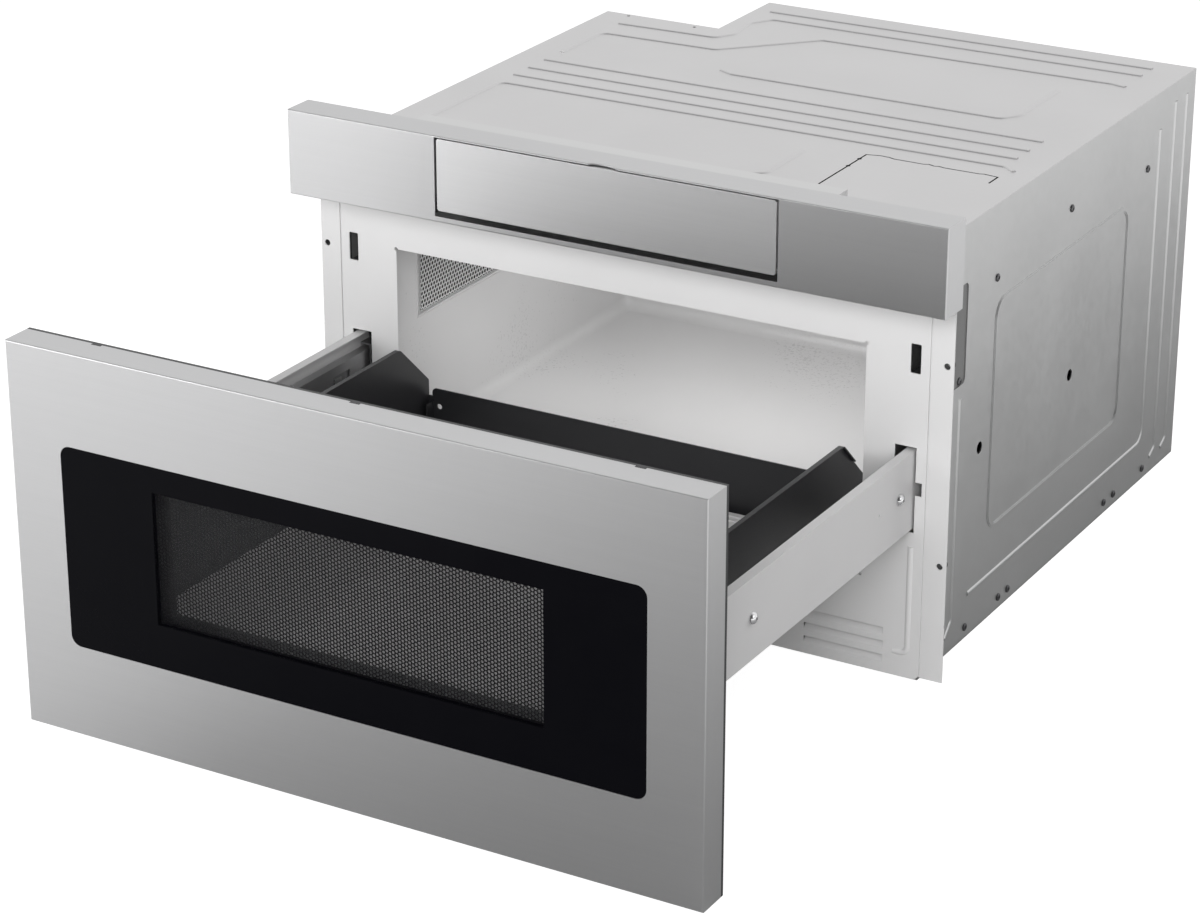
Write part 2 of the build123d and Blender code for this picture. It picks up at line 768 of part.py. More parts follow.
back_y = drawer_rear - drawer_sheet
with BuildPart() as drawer_back:
    ledge_half = drawer_half_width - drawer_ledge - seat_gap
    with BuildSketch(facing_front(back_y)):
        area(-back_width / 2, back_width / 2, drawer_bottom + drawer_sheet, back_top)
        fillet(vertices().group_by(Axis.Y)[-1], side_round)
        area(-ledge_half, ledge_half, drawer_bottom, drawer_bottom + drawer_sheet)
        with Locations((-back_hole_x, back_hole_z), (back_hole_x, back_hole_z)):
            Circle(back_hole_radius, mode=Mode.SUBTRACT)
    extrude(amount=drawer_sheet)
    block((-ledge_half, ledge_half), (back_y - back_flange, back_y - drawer_sheet),
          (drawer_bottom, drawer_bottom + drawer_sheet))
    for name, sign in sides:
        block(span(sign, back_width / 2 - drawer_sheet, back_width / 2),
              (back_y - back_return, back_y - drawer_sheet),
              (drawer_bottom + drawer_sheet + tray_thickness + seat_gap, back_top - 3 * side_round))
finish(drawer_back, "drawer_back")

tray_half = drawer_half_width - drawer_sheet - seat_gap
tray_low = drawer_bottom + drawer_sheet
tray_back = back_y - drawer_sheet - tray_rear_gap
with BuildPart() as drawer_tray:
    block((-tray_half, tray_half), (cover_back + seat_gap, tray_back),
          (tray_low, tray_low + tray_thickness))
    with BuildSketch(level(tray_low + tray_thickness)):
        with Locations((0, (cover_back + seat_gap + tray_back) / 2)):
            for inset in tray_groove_insets:
                for start, kind in ((inset, Mode.ADD), (inset + tray_groove_width, Mode.SUBTRACT)):
                    Rectangle(2 * tray_half - 2 * start,
                              tray_back - cover_back - seat_gap - 2 * start, mode=kind)
    extrude(amount=-tray_groove_depth, mode=Mode.SUBTRACT)
finish(drawer_tray, "drawer_tray")

# ---- Drawer brackets, slides and ball cages -----------------------------------------------------
middle_web = slide_inner_face + slide_sheet + member_gap
inner_face = bracket_web - bracket_sheet
screw_z = slide_centre
for name, sign in sides:
    with BuildPart() as drawer_bracket:
        with BuildSketch(facing_front(bracket_rear)):
            area(*span(sign, inner_face, bracket_web), bracket_bottom, bracket_top)
            area(*span(sign, bracket_web - bracket_flange, bracket_web),
                 bracket_top - bracket_sheet, bracket_top)
        extrude(amount=bracket_rear - cover_back)
        with Locations(Location((0, bracket_screw_front, screw_z), (0, 90, 0)),
                       Location((0, bracket_screw_rear, screw_z), (0, 90, 0))):
            Cylinder(screw_shank_radius, front_width, mode=Mode.SUBTRACT)
        with Locations(Location((0, bracket_dot_y, screw_z), (0, 90, 0))):
            Cylinder(bracket_dot_radius, front_width, mode=Mode.SUBTRACT)
    finish(drawer_bracket, f"{name}_drawer_bracket")

    inner_open = inner_closed - drawer_travel
    with BuildPart() as inner_member:
        with BuildSketch(facing_front(inner_open + inner_length)):
            area(*span(sign, inner_face - slide_sheet, inner_face),
                 slide_centre - inner_half_height, slide_centre + inner_half_height)
            for low in (slide_centre - inner_half_height,
                        slide_centre + inner_half_height - slide_sheet):
                area(*span(sign, middle_web + 2 * slide_sheet, inner_face), low, low + slide_sheet)
        extrude(amount=inner_length)
        with Locations(Location((0, bracket_screw_front, screw_z), (0, 90, 0)),
                       Location((0, bracket_screw_rear, screw_z), (0, 90, 0))):
            Cylinder(screw_shank_radius, front_width, mode=Mode.SUBTRACT)
    finish(inner_member, f"{name}_slide_inner")

    middle_open = middle_closed - drawer_travel / 2
    with BuildPart() as middle_member:
        with BuildSketch(facing_front(middle_open + middle_length)):
            area(*span(sign, middle_web, middle_web + slide_sheet),
                 slide_centre - middle_half_height, slide_centre + middle_half_height)
            for low in (slide_centre - middle_half_height,
                        slide_centre + middle_half_height - slide_sheet):
                area(*span(sign, middle_web, inner_face - 2 * slide_sheet), low, low + slide_sheet)
        extrude(amount=middle_length)
        web = span(sign, middle_web, middle_web + slide_sheet)
        block(web, (lance_start, lance_start + lance_length),
              (lance_bottom, lance_bottom + lance_height), mode=Mode.SUBTRACT)
        block(web, (lance_start + lance_tab[0], lance_start + lance_tab[1]),
              (lance_bottom, lance_bottom + lance_tab_height))
    finish(middle_member, f"{name}_slide_middle")

    with BuildPart() as outer_member:
        with BuildSketch(facing_front(outer_start + outer_length)):
            area(*span(sign, slide_inner_face, slide_inner_face + slide_sheet),
                 slide_centre - outer_half_height, slide_centre + outer_half_height)
            for low in (slide_centre - outer_half_height,
                        slide_centre + outer_half_height - slide_sheet):
                area(*span(sign, slide_inner_face, inner_face - 2 * slide_sheet),
                     low, low + slide_sheet)
        extrude(amount=outer_length)
    finish(outer_member, f"{name}_slide_outer")

# A ball cage is a thin strip with a row of balls, drawn as a bar, along its upper and lower edge.
outer_cage_y = cage_closed_outer - drawer_travel / 4
with BuildPart() as outer_ball_cages:
    low_gap = outer_half_height - slide_sheet - cage_clearance
    for name, sign in sides:
        web = slide_inner_face + slide_sheet + cage_sheet / 2
        with BuildSketch(facing_front(outer_cage_y + cage_length)):
            area(*span(sign, web, web + cage_sheet), slide_centre - low_gap, slide_centre + low_gap)
            for low in (slide_centre - low_gap, slide_centre + middle_half_height + cage_clearance):
                area(*span(sign, web, web + ball_width + cage_sheet),
                     low, low + low_gap - middle_half_height - cage_clearance)
        extrude(amount=cage_length)
finish(outer_ball_cages, "outer_ball_cages")

inner_cage_y = cage_closed_inner - 3 * drawer_travel / 4
with BuildPart() as inner_ball_cages:
    low_gap = middle_half_height - slide_sheet - cage_clearance
    for name, sign in sides:
        web = middle_web + slide_sheet + cage_sheet / 2
        with BuildSketch(facing_front(inner_cage_y + cage_length)):
            area(*span(sign, web, web + cage_sheet), slide_centre - low_gap, slide_centre + low_gap)
            for low in (slide_centre - low_gap, slide_centre + inner_half_height + cage_clearance):
                area(*span(sign, web, web + ball_width + cage_sheet),
                     low, low + low_gap - inner_half_height - cage_clearance)
        extrude(amount=cage_length)
finish(inner_ball_cages, "inner_ball_cages")

with BuildPart() as slide_supports:
    support_face = slide_inner_face - slide_sheet
    support_high = slide_centre + outer_half_height
    for name, sign in sides:
        with BuildSketch(facing_front(support_start + support_length)):
            area(*span(sign, support_face, slide_inner_face), base_sheet, support_high)
            area(*span(sign, slide_inner_face - support_foot, slide_inner_face),
                 base_sheet, base_sheet + slide_sheet)
        extrude(amount=support_length)
    with Locations(Location((slide_inner_face, pinion_y, pinion_z), (0, 90, 0))):
        Cylinder(shaft_radius + running_gap, 4 * slide_sheet, mode=Mode.SUBTRACT)
finish(slide_supports, "slide_supports")

with BuildPart() as bracket_screws:
    for name, sign in sides:
        for y in (bracket_screw_front, bracket_screw_rear):
            with BuildSketch(Plane(origin=(sign * bracket_web, y, screw_z),
                                   x_dir=(0, 1, 0), z_dir=(sign, 0, 0))):
                Circle(screw_head_radius)
            extrude(amount=screw_head_height)
            with BuildSketch(Plane(origin=(sign * bracket_web, y, screw_z),
                                   x_dir=(0, 1, 0), z_dir=(-sign, 0, 0))):
                Circle(screw_shank_radius)
            extrude(amount=bracket_sheet + slide_sheet)
finish(bracket_screws, "bracket_screws")

# ---- Rack and pinion ----------------------------------------------------------------------------
pitch = pi * gear_module
flank = tan(radians(pressure_angle))
rack_teeth = int(drawer_travel / pitch) + rack_spare
rack_root = rack_line + tooth_foot * gear_module
rack_tip = rack_line - gear_module
tip_half = pitch / 4 - tooth_backlash - gear_module * flank
root_half = pitch / 4 - tooth_backlash + tooth_foot * gear_module * flank
rack_rear = pinion_y + rack_teeth_behind * pitch
with BuildPart() as drive_rack:
    with BuildSketch(facing_right(inner_face - rack_thickness)):
        area(rack_rear - rack_teeth * pitch, rack_rear, rack_root, rack_top)
        for tooth in range(rack_teeth):
            middle = rack_rear - (tooth + 0.5) * pitch
            with BuildLine():
                Polyline(
                    (middle - root_half, rack_root),
                    (middle - tip_half, rack_tip),
                    (middle + tip_half, rack_tip),
                    (middle + root_half, rack_root),
                    close=True,
                )
            make_face()
    extrude(amount=rack_thickness)
finish(drive_rack, "drive_rack")

base_radius = pitch_radius * cos(radians(pressure_angle))
root_radius = pitch_radius - tooth_foot * gear_module
tip_radius = pitch_radius + gear_module


def involute(radius):
    """The involute angle, in radians, at a radius on the pinion's flank."""
    slope = sqrt((radius / base_radius) ** 2 - 1)
    return slope - atan(slope)


def flank_point(radius, side):
    """A point on one flank of the pinion tooth that lies along the sketch's own X axis."""
    half = (pi / 4 * gear_module - tooth_backlash) / pitch_radius
    angle = side * (half + involute(pitch_radius) - involute(radius))
    return (radius * cos(angle), radius * sin(angle))


mid_radius = (base_radius + tip_radius) / 2
root_point = root_radius - tooth_sink
with BuildPart() as drive_pinion:
    pinion_face_x = slide_inner_face + pinion_clearance
    with BuildSketch(Plane(origin=(pinion_face_x, pinion_y, pinion_z),
                           x_dir=(0, 1, 0), z_dir=(1, 0, 0))):
        Circle(root_radius)
        with BuildSketch(mode=Mode.PRIVATE) as tooth_shape:
            with BuildLine():
                foot = flank_point(base_radius, 1)
                ThreePointArc(foot, flank_point(mid_radius, 1), flank_point(tip_radius, 1))
                Line(flank_point(tip_radius, 1), flank_point(tip_radius, -1))
                ThreePointArc(flank_point(tip_radius, -1), flank_point(mid_radius, -1),
                              flank_point(base_radius, -1))
                Polyline(flank_point(base_radius, -1), (root_point, -foot[1]),
                         (root_point, foot[1]), foot)
            make_face()
        with PolarLocations(0, pinion_teeth, start_angle=90):
            add(tooth_shape.sketch)
    extrude(amount=pinion_face)
    with BuildSketch(Plane(origin=(gearbox_inner + gearbox_wall, pinion_y, pinion_z),
                           x_dir=(0, 1, 0), z_dir=(1, 0, 0))):
        Circle(shaft_radius)
    extrude(amount=pinion_face_x - gearbox_inner - gearbox_wall)
finish(drive_pinion, "drive_pinion")

gearbox_front = support_start + seat_gap
with BuildPart() as drive_gearbox:
    block((gearbox_inner, support_face), (gearbox_front, gearbox_front + gearbox_depth),
          (gearbox_bottom, gearbox_top))
    fillet(drive_gearbox.edges().filter_by(Axis.X), shaft_radius)
    with BuildSketch(Plane(origin=(gearbox_inner + gearbox_wall, pinion_y, pinion_z),
                           x_dir=(0, 1, 0), z_dir=(1, 0, 0))):
        Circle(shaft_radius + running_gap)
    extrude(amount=support_face - gearbox_inner, mode=Mode.SUBTRACT)
finish(drive_gearbox, "drive_gearbox")

with BuildPart() as drive_motor:
    with BuildSketch(Plane(origin=(gearbox_inner, motor_y, motor_z),
                           x_dir=(0, 1, 0), z_dir=(-1, 0, 0))):
        Circle(motor_radius)
    extrude(amount=motor_length)
    fillet(drive_motor.edges().filter_by(GeomType.CIRCLE).sort_by(Axis.X)[0], can_round)
    with BuildSketch(Plane(origin=(gearbox_inner - motor_length, motor_y, motor_z),
                           x_dir=(0, 1, 0), z_dir=(-1, 0, 0))):
        Circle(motor_radius / 3)
    extrude(amount=motor_cap)
finish(drive_motor, "drive_motor")

# ---- Front plate --------------------------------------------------------------------------------
plate_top = body_height - cabinet_sheet
plate_half = plate_width / 2
with BuildPart() as front_plate:
    with BuildSketch(facing_front(plate_sheet)):
        area(-plate_half, plate_half, plate_lift, plate_top)
        chamfer(vertices().group_by(Axis.Y)[0], plate_corner)
        area(-opening_width / 2, opening_width / 2, opening_bottom, opening_top,
             mode=Mode.SUBTRACT)
        for high in (opening_bottom, opening_top):
            with Locations((-opening_width / 2, high), (opening_width / 2, high)):
                Circle(opening_relief, mode=Mode.SUBTRACT)
        area(-tub_half_width - seat_gap, tub_half_width + seat_gap,
             tub_floor - seat_gap, plate_top, mode=Mode.SUBTRACT)
        for name, sign in sides:
            area(*span(sign, slot_inner, slot_outer), slot_bottom, slot_top, mode=Mode.SUBTRACT)
            area(*span(sign, slot_outer, slot_outer + screw_notch_depth),
                 slide_centre - screw_notch_height / 2, slide_centre + screw_notch_height / 2,
                 mode=Mode.SUBTRACT)
            with Locations((sign * latch_slot_x, latch_slot_z)):
                RectangleRounded(latch_slot_width, latch_slot_height, latch_slot_round,
                                 mode=Mode.SUBTRACT)
            for step in range(louvre_count):
                with Locations((sign * louvre_x, louvre_z + step * louvre_pitch)):
                    Rectangle(louvre_length, louvre_height, mode=Mode.SUBTRACT)
    extrude(amount=plate_sheet)
    for name, sign in sides:
        for step in range(louvre_count):
            low = louvre_z + step * louvre_pitch - louvre_height / 2
            with BuildSketch(facing_right(sign * louvre_x - louvre_length / 2)):
                with BuildLine():
                    Polyline(
                        (0, low),
                        (plate_sheet, low),
                        (louvre_lean + plate_sheet, low + louvre_height - plate_sheet),
                        (louvre_lean, low + louvre_height - plate_sheet),
                        close=True,
                    )
                make_face()
            extrude(amount=louvre_length)
        rib(facing_front(0), (sign * plate_rib_x, plate_rib_top),
            (sign * plate_rib_x, plate_rib_low), (sign * plate_rib_end, plate_rib_low),
            corner=plate_rib_round)
finish(front_plate, "front_plate")

# ---- Mounting flanges: an L with a joggle that brings its front level with the front plate ------
leg_face = body_half - cabinet_sheet
flange_inner = plate_half + flange_gap
for name, sign in sides:
    with BuildPart() as mounting_flange:
        with BuildSketch(level(flange_bottom)):
            area(*span(sign, flange_inner, flange_outer), 0, flange_sheet)
            area(*span(sign, leg_face - flange_sheet, flange_inner + flange_sheet),
                 flange_sheet, 2 * flange_sheet)
            area(*span(sign, leg_face - flange_sheet, leg_face), flange_sheet, flange_leg)
        extrude(amount=flange_top - flange_bottom)
        holes = Locations((sign * flange_hole_x, flange_hole_low),
                          (sign * flange_hole_x, flange_hole_high))
        with BuildSketch(facing_front(flange_sheet + flange_collar)):
            with holes:
                Circle(flange_hole_radius + flange_collar_wall)
        extrude(amount=flange_collar)
        with BuildSketch(facing_front(flange_sheet + flange_collar)):
            with holes:
                Circle(flange_hole_radius)
        extrude(amount=flange_sheet + flange_collar, mode=Mode.SUBTRACT)
        with Locations(Location((sign * leg_face, leg_screw_y, leg_screw_z), (0, 90, 0))):
            Cylinder(panel_screw_shank, 3 * flange_sheet, mode=Mode.SUBTRACT)
    finish(mounting_flange, f"{name}_mounting_flange")

# ---- Side panels and their screws ---------------------------------------------------------------
side_start = 2 * flange_sheet + seat_gap


def side_point(sign, y, z):
    """Coordinates on a side panel's outer face; on the left one they run the other way."""
    return (sign * y, z)


def screw_places(back):
    """Y and Z of the screws in a side panel that ends at back."""
    low = [side_start + step for step in low_screws_front] + [back - step for step in low_screws_rear]
    high = ((side_start + high_screws[0], high_screw_z), ((side_start + back) / 2, mid_screw_z),
            (back - high_screws[1], high_screw_z))
    return [(y, low_screw_z) for y in low] + list(high)


for name, sign in sides:
    back = rear_y if sign > 0 else step_y
    surface = Plane(origin=(sign * body_half, 0, 0), x_dir=(0, sign, 0), z_dir=(sign, 0, 0))
    ring_back = back - ring_from_rear
    with BuildPart() as side_panel:
        block(span(sign, leg_face, body_half), (side_start, back), (base_sheet, plate_top))
        rib(surface, side_point(sign, back - rib_rear[0], loop_high),
            side_point(sign, back - rib_rear[0], loop_low),
            side_point(sign, loop_front + loop_foot, loop_low), corner=loop_round)
        for place in rib_rear[1:]:
            rib(surface, side_point(sign, back - place, loop_high + rib_rise),
                side_point(sign, back - place, loop_low - rib_drop),
                side_point(sign, back - place - rib_hook, loop_low - rib_drop - rib_hook / 2),
                corner=rib_hook / 2)
        rib(surface, side_point(sign, loop_front, recess_low - rib_hook),
            side_point(sign, loop_front, loop_low - rib_hook),
            side_point(sign, loop_front - rib_hook, loop_low - 2 * rib_hook), corner=rib_hook / 2)
        middle = side_point(sign, (ring_front + ring_back) / 2, (ring_low + ring_high) / 2)
        ring_rib(surface, middle, ring_back - ring_front, ring_high - ring_low, ring_round)
        with BuildSketch(facing_right(-body_half - overcut)):
            with Locations(((recess_front + recess_back) / 2, (recess_low + recess_high) / 2)):
                RectangleRounded(recess_back - recess_front, recess_high - recess_low, recess_round)
            with Locations((side_start + side_holes[0], side_hole_z),
                           (back - side_holes[1], side_hole_z)):
                Circle(side_hole_radius)
            with Locations(*screw_places(back)):
                Circle(panel_screw_shank)
        extrude(amount=2 * (body_half + overcut), mode=Mode.SUBTRACT)
    finish(side_panel, f"{name}_side_panel")

with BuildPart() as panel_screws:
    for name, sign in sides:
        places = [(body_half, y, z) for y, z in screw_places(rear_y if sign > 0 else step_y)]
        for seat, y, z in places + [(leg_face, leg_screw_y, leg_screw_z)]:
            with BuildSketch(Plane(origin=(sign * seat, y, z), x_dir=(0, 1, 0),
                                   z_dir=(sign, 0, 0))):
                Circle(panel_screw_head)
            extrude(amount=panel_screw_rise)
            with BuildSketch(Plane(origin=(sign * seat, y, z), x_dir=(0, 1, 0),
                                   z_dir=(-sign, 0, 0))):
                Circle(panel_screw_shank)
            extrude(amount=cabinet_sheet + base_sheet)
finish(panel_screws, "panel_screws")

# ---- Top panel ----------------------------------------------------------------------------------
with BuildPart() as top_panel:
    with BuildSketch(level(body_height - cabinet_sheet)):
        area(-body_half, body_half, plate_sheet, rear_y)
        area(-body_half, step_x, step_y, rear_y, mode=Mode.SUBTRACT)
        area(-tub_half_width - seat_gap, tub_half_width + seat_gap,
             plate_sheet, tub_back + seat_gap, mode=Mode.SUBTRACT)
    extrude(amount=cabinet_sheet)
    with BuildSketch(level(body_height - cabinet_sheet)):
        with BuildLine():
            Polyline((cover_left, cover_front), (cover_left, cover_rear),
                     *[(cover_left + share * (cover_right - cover_left), cover_rear + step)
                       for share, step in cover_steps],
                     (cover_right, cover_rear), (cover_right, cover_rear - cover_tail))
        trace(line_width=cover_line)
        with Locations(*[(cover_left, cover_rear - step) for step in cover_holes]):
            Circle(cover_hole_radius)
        with Locations(*[(across * body_half, back * rear_y) for across, back in roof_dots]):
            Circle(roof_dot_radius)
    extrude(amount=cabinet_sheet, mode=Mode.SUBTRACT)
    for places in roof_ribs:
        rib(level(body_height), *[(across * body_half, back * rear_y) for across, back in places],
            corner=roof_rib_corner)
finish(top_panel, "top_panel")

# ---- Rear panels --------------------------------------------------------------------------------
with BuildPart() as rear_panel:
    with BuildSketch(facing_front(rear_y)):
        area(step_x, leg_face, base_sheet, plate_top)
        with Locations((gland_x, gland_z)):
            Circle(gland_radius, mode=Mode.SUBTRACT)
        with Locations((fan_x + fan_depth / 2, fan_z)):
            with GridLocations(rear_vent_pitch_x, rear_vent_pitch_z, rear_vent_columns,
                               rear_vent_rows):
                SlotOverall(rear_vent_length, rear_vent_width, mode=Mode.SUBTRACT)
    extrude(amount=cabinet_sheet)
finish(rear_panel, "rear_panel")

with BuildPart() as rear_step_panel:
    block((-leg_face, step_x), (step_y - cabinet_sheet, step_y), (base_sheet, plate_top))
    block((step_x - cabinet_sheet, step_x), (step_y, rear_y), (base_sheet, plate_top))
finish(rear_step_panel, "rear_step_panel")

# ---- Base plate ---------------------------------------------------------------------------------
with BuildPart() as base_plate:
    with BuildSketch(level(0)):
        area(-body_half, body_half, plate_sheet, rear_y)
        area(-body_half, step_x, step_y, rear_y, mode=Mode.SUBTRACT)
    extrude(amount=base_sheet)
    for name, sign in sides:
        back = rear_y if sign > 0 else step_y
        block(span(sign, leg_face - base_sheet, leg_face),
              (flange_leg + seat_gap, back - cabinet_sheet), (base_sheet, base_lip))
        with Locations(*[Location((sign * leg_face, y, z), (0, 90, 0))
                         for y, z in screw_places(back)[:low_screw_count]]):
            Cylinder(panel_screw_shank, 3 * base_sheet, mode=Mode.SUBTRACT)
finish(base_plate, "base_plate")

# ---- Cavity -------------------------------------------------------------------------------------
with BuildPart() as cavity:
    block((-cavity_half_width - cavity_sheet, cavity_half_width + cavity_sheet),
          (plate_sheet, cavity_back + cavity_sheet),
          (cavity_floor - cavity_sheet, cavity_ceiling + cavity_sheet))
    fillet(cavity.edges().filter_by(Axis.Y) + cavity.edges().group_by(Axis.Y)[-1],
           cavity_round + cavity_sheet)
    offset(amount=-cavity_sheet, openings=cavity.faces().sort_by(Axis.Y)[0])
    gutter_half = opening_width / 2
    block((-gutter_half - cavity_sheet, gutter_half + cavity_sheet),
          (plate_sheet, gutter_depth + cavity_sheet),
          (opening_bottom - cavity_sheet, cavity_floor))
    block((-gutter_half, gutter_half), (plate_sheet, gutter_depth),
          (opening_bottom, cavity_floor), mode=Mode.SUBTRACT)
    with BuildSketch(level(cavity_floor)):
        with Locations((0, (platform_front + platform_back) / 2)):
            RectangleRounded(2 * platform_half_width, platform_back - platform_front,
                             platform_round)
    extrude(amount=platform_rise)
    block((-cavity_half_width - 2 * cavity_sheet, -cavity_half_width + cavity_sheet),
          (lamp_window_front, lamp_window_back), (lamp_window_bottom, lamp_window_top),
          mode=Mode.SUBTRACT)
    with BuildSketch(level(cavity_ceiling - cavity_sheet)):
        with Locations((0, feed_y)):
            Circle(feed_radius)
    extrude(amount=3 * cavity_sheet, mode=Mode.SUBTRACT)
finish(cavity, "cavity")

with BuildPart() as lamp_screen:
    with BuildSketch(facing_right(-cavity_half_width - cavity_sheet)):
        area(lamp_window_front + seat_gap, lamp_window_back - seat_gap,
             lamp_window_bottom + seat_gap, lamp_window_top - seat_gap)
        with Locations(((lamp_window_front + lamp_window_back) / 2,
                        (lamp_window_bottom + lamp_window_top) / 2)):
            screen_columns = int((lamp_window_back - lamp_window_front) / lamp_screen_pitch) - 1
            screen_rows = int((lamp_window_top - lamp_window_bottom) / lamp_screen_pitch) - 1
            with GridLocations(lamp_screen_pitch, lamp_screen_pitch, screen_columns, screen_rows):
                Circle(lamp_screen_hole, mode=Mode.SUBTRACT)
    extrude(amount=cavity_sheet)
finish(lamp_screen, "lamp_screen")

with BuildPart() as lamp_duct:
    duct_inner = cavity_half_width + cavity_sheet + seat_gap
    duct_outer = bracket_web - bracket_flange - duct_side_gap
    block((-duct_outer, -duct_inner), (duct_front, duct_back), (duct_bottom, duct_top))
    block((-duct_outer + duct_sheet, -duct_inner), (duct_front + duct_sheet, duct_back - duct_sheet),
          (duct_bottom + duct_sheet, duct_top - duct_sheet), mode=Mode.SUBTRACT)
finish(lamp_duct, "lamp_duct")

with BuildPart() as cavity_lamp:
    lamp_z = duct_top - duct_sheet
    with BuildSketch(level(lamp_z)):
        with Locations((-(duct_inner + duct_outer) / 2, (duct_front + duct_back) / 2)):
            Circle(lamp_radius)
    extrude(amount=-lamp_length)
    fillet(cavity_lamp.edges().group_by(Axis.Z)[0], lamp_radius - lamp_tip)
finish(cavity_lamp, "cavity_lamp")

# ---- Waveguide, magnetron and stirrer -----------------------------------------------------------
guide_low = cavity_ceiling + cavity_sheet
guide_high = guide_low + guide_height
with BuildPart() as waveguide:
    block((-guide_half_width, guide_half_width), (guide_front, guide_back), (guide_low, guide_high))
    block((-guide_half_width + cavity_sheet, guide_half_width - cavity_sheet),
          (guide_front + cavity_sheet, guide_back - cavity_sheet),
          (guide_low + cavity_sheet, guide_high - cavity_sheet), mode=Mode.SUBTRACT)
    with BuildSketch(level(guide_low)):
        with Locations((0, feed_y)):
            Circle(stirrer_radius + stirrer_shaft)
        with Locations((0, magnetron_y)):
            Circle(antenna_radius + antenna_gap)
    extrude(amount=cavity_sheet, mode=Mode.SUBTRACT)
    with BuildSketch(level(guide_high - cavity_sheet)):
        with Locations((0, feed_y)):
            Circle(stirrer_shaft + running_gap)
    extrude(amount=cavity_sheet, mode=Mode.SUBTRACT)
finish(waveguide, "waveguide")

with BuildPart() as magnetron:
    magnetron_low = guide_low - magnetron_height
    front = magnetron_y - magnetron_depth / 2
    for step in range(fin_count):
        fin_z = magnetron_low + (step + 1) * magnetron_height / (fin_count + 1)
        block((-magnetron_width / 2, magnetron_width / 2), (front, front + magnetron_depth),
              (fin_z - fin_sheet / 2, fin_z + fin_sheet / 2))
    for low in (magnetron_low, guide_low - cabinet_sheet):
        block((-magnetron_width / 2, magnetron_width / 2), (front, front + magnetron_depth),
              (low, low + cabinet_sheet))
    for edge_y in (front, front + magnetron_depth - cabinet_sheet):
        block((-magnetron_width / 2, magnetron_width / 2), (edge_y, edge_y + cabinet_sheet),
              (magnetron_low, guide_low))
    with Locations((0, magnetron_y, (magnetron_low + guide_low) / 2)):
        Cylinder(anode_radius, magnetron_height)
    with Locations((0, magnetron_y, guide_low + antenna_height / 2)):
        Cylinder(antenna_radius, antenna_height)
finish(magnetron, "magnetron")

with BuildPart() as stirrer_motor:
    with BuildSketch(level(guide_high)):
        with Locations((0, feed_y)):
            Circle(stirrer_motor_radius)
            Circle(stirrer_shaft + running_gap, mode=Mode.SUBTRACT)
    extrude(amount=stirrer_motor_height)
    fillet(stirrer_motor.edges().group_by(Axis.Z)[-1].sort_by(SortBy.LENGTH)[-1], can_round)
finish(stirrer_motor, "stirrer_motor")

with BuildPart() as stirrer_blade:
    blade_z = guide_low + stirrer_rise
    with BuildSketch(level(blade_z)):
        with Locations((0, feed_y)):
            Circle(3 * stirrer_shaft)
            with PolarLocations(stirrer_radius / 2, stirrer_blades):
                SlotOverall(stirrer_radius, stirrer_radius / 3)
    extrude(amount=cabinet_sheet)
    with BuildSketch(level(blade_z + cabinet_sheet)):
        with Locations((0, feed_y)):
            Circle(stirrer_shaft)
    extrude(amount=guide_high + stirrer_motor_height / 2 - blade_z - cabinet_sheet)
finish(stirrer_blade, "stirrer_blade")

with BuildPart() as stirrer_cover:
    with BuildSketch(level(cavity_ceiling - mica_sheet)):
        with Locations((0, feed_y)):
            RectangleRounded(2 * mica_half, 2 * mica_half, cavity_round)
    extrude(amount=mica_sheet)
finish(stirrer_cover, "stirrer_cover")

# ---- Cooling fan --------------------------------------------------------------------------------
fan_plane = Plane(origin=(fan_x, fan_y, fan_z), x_dir=(0, 1, 0), z_dir=(1, 0, 0))
with BuildPart() as fan_housing:
    with BuildSketch(fan_plane):
        RectangleRounded(fan_size, fan_size, fan_corner)
        Circle(fan_bore, mode=Mode.SUBTRACT)
    extrude(amount=fan_depth)
    with BuildSketch(fan_plane.offset(fan_depth - fan_spoke_sheet)):
        Circle(fan_motor_radius)
        with PolarLocations(fan_bore / 2, fan_spokes, start_angle=90):
            Rectangle(fan_bore + fan_tip_gap, fan_spoke_width)
        Circle(fan_shaft + running_gap, mode=Mode.SUBTRACT)
    extrude(amount=fan_spoke_sheet)
    block((fan_x, fan_x + fan_spoke_sheet), (fan_y - fan_size / 4, fan_y + fan_size / 4),
          (base_sheet, fan_z - fan_size / 2))
finish(fan_housing, "fan_housing")

with BuildPart() as fan_motor:
    with BuildSketch(fan_plane.offset(fan_depth)):
        Circle(fan_motor_radius)
        Circle(fan_shaft + running_gap, mode=Mode.SUBTRACT)
    extrude(amount=fan_motor_length)
    fillet(fan_motor.edges().group_by(Axis.X)[-1].sort_by(SortBy.LENGTH)[-1], can_round)
finish(fan_motor, "fan_motor")

with BuildPart() as fan_rotor:
    hub_length = fan_depth - 3 * fan_inset
    with BuildSketch(fan_plane.offset(fan_inset)):
        Circle(fan_hub)
    extrude(amount=hub_length)
    blade_tip = fan_bore - fan_tip_gap
    hub_middle = fan_inset + hub_length / 2
    for step in range(fan_blades):
        turn = Location(fan_plane) * Location((0, 0, 0), (0, 0, step * 360 / fan_blades))
        blade_plane = Plane(turn * Location((fan_hub - blade_sheet, 0, hub_middle), (0, 90, 0))
                            * Location((0, 0, 0), (0, 0, blade_pitch)))
        with BuildSketch(blade_plane):
            Rectangle(hub_length, blade_sheet)
        extrude(amount=blade_tip - fan_hub + blade_sheet)
    with BuildSketch(fan_plane.offset(fan_inset + hub_length)):
        Circle(fan_shaft)
    extrude(amount=fan_depth - fan_inset - hub_length + fan_motor_length / 2)
finish(fan_rotor, "fan_rotor")

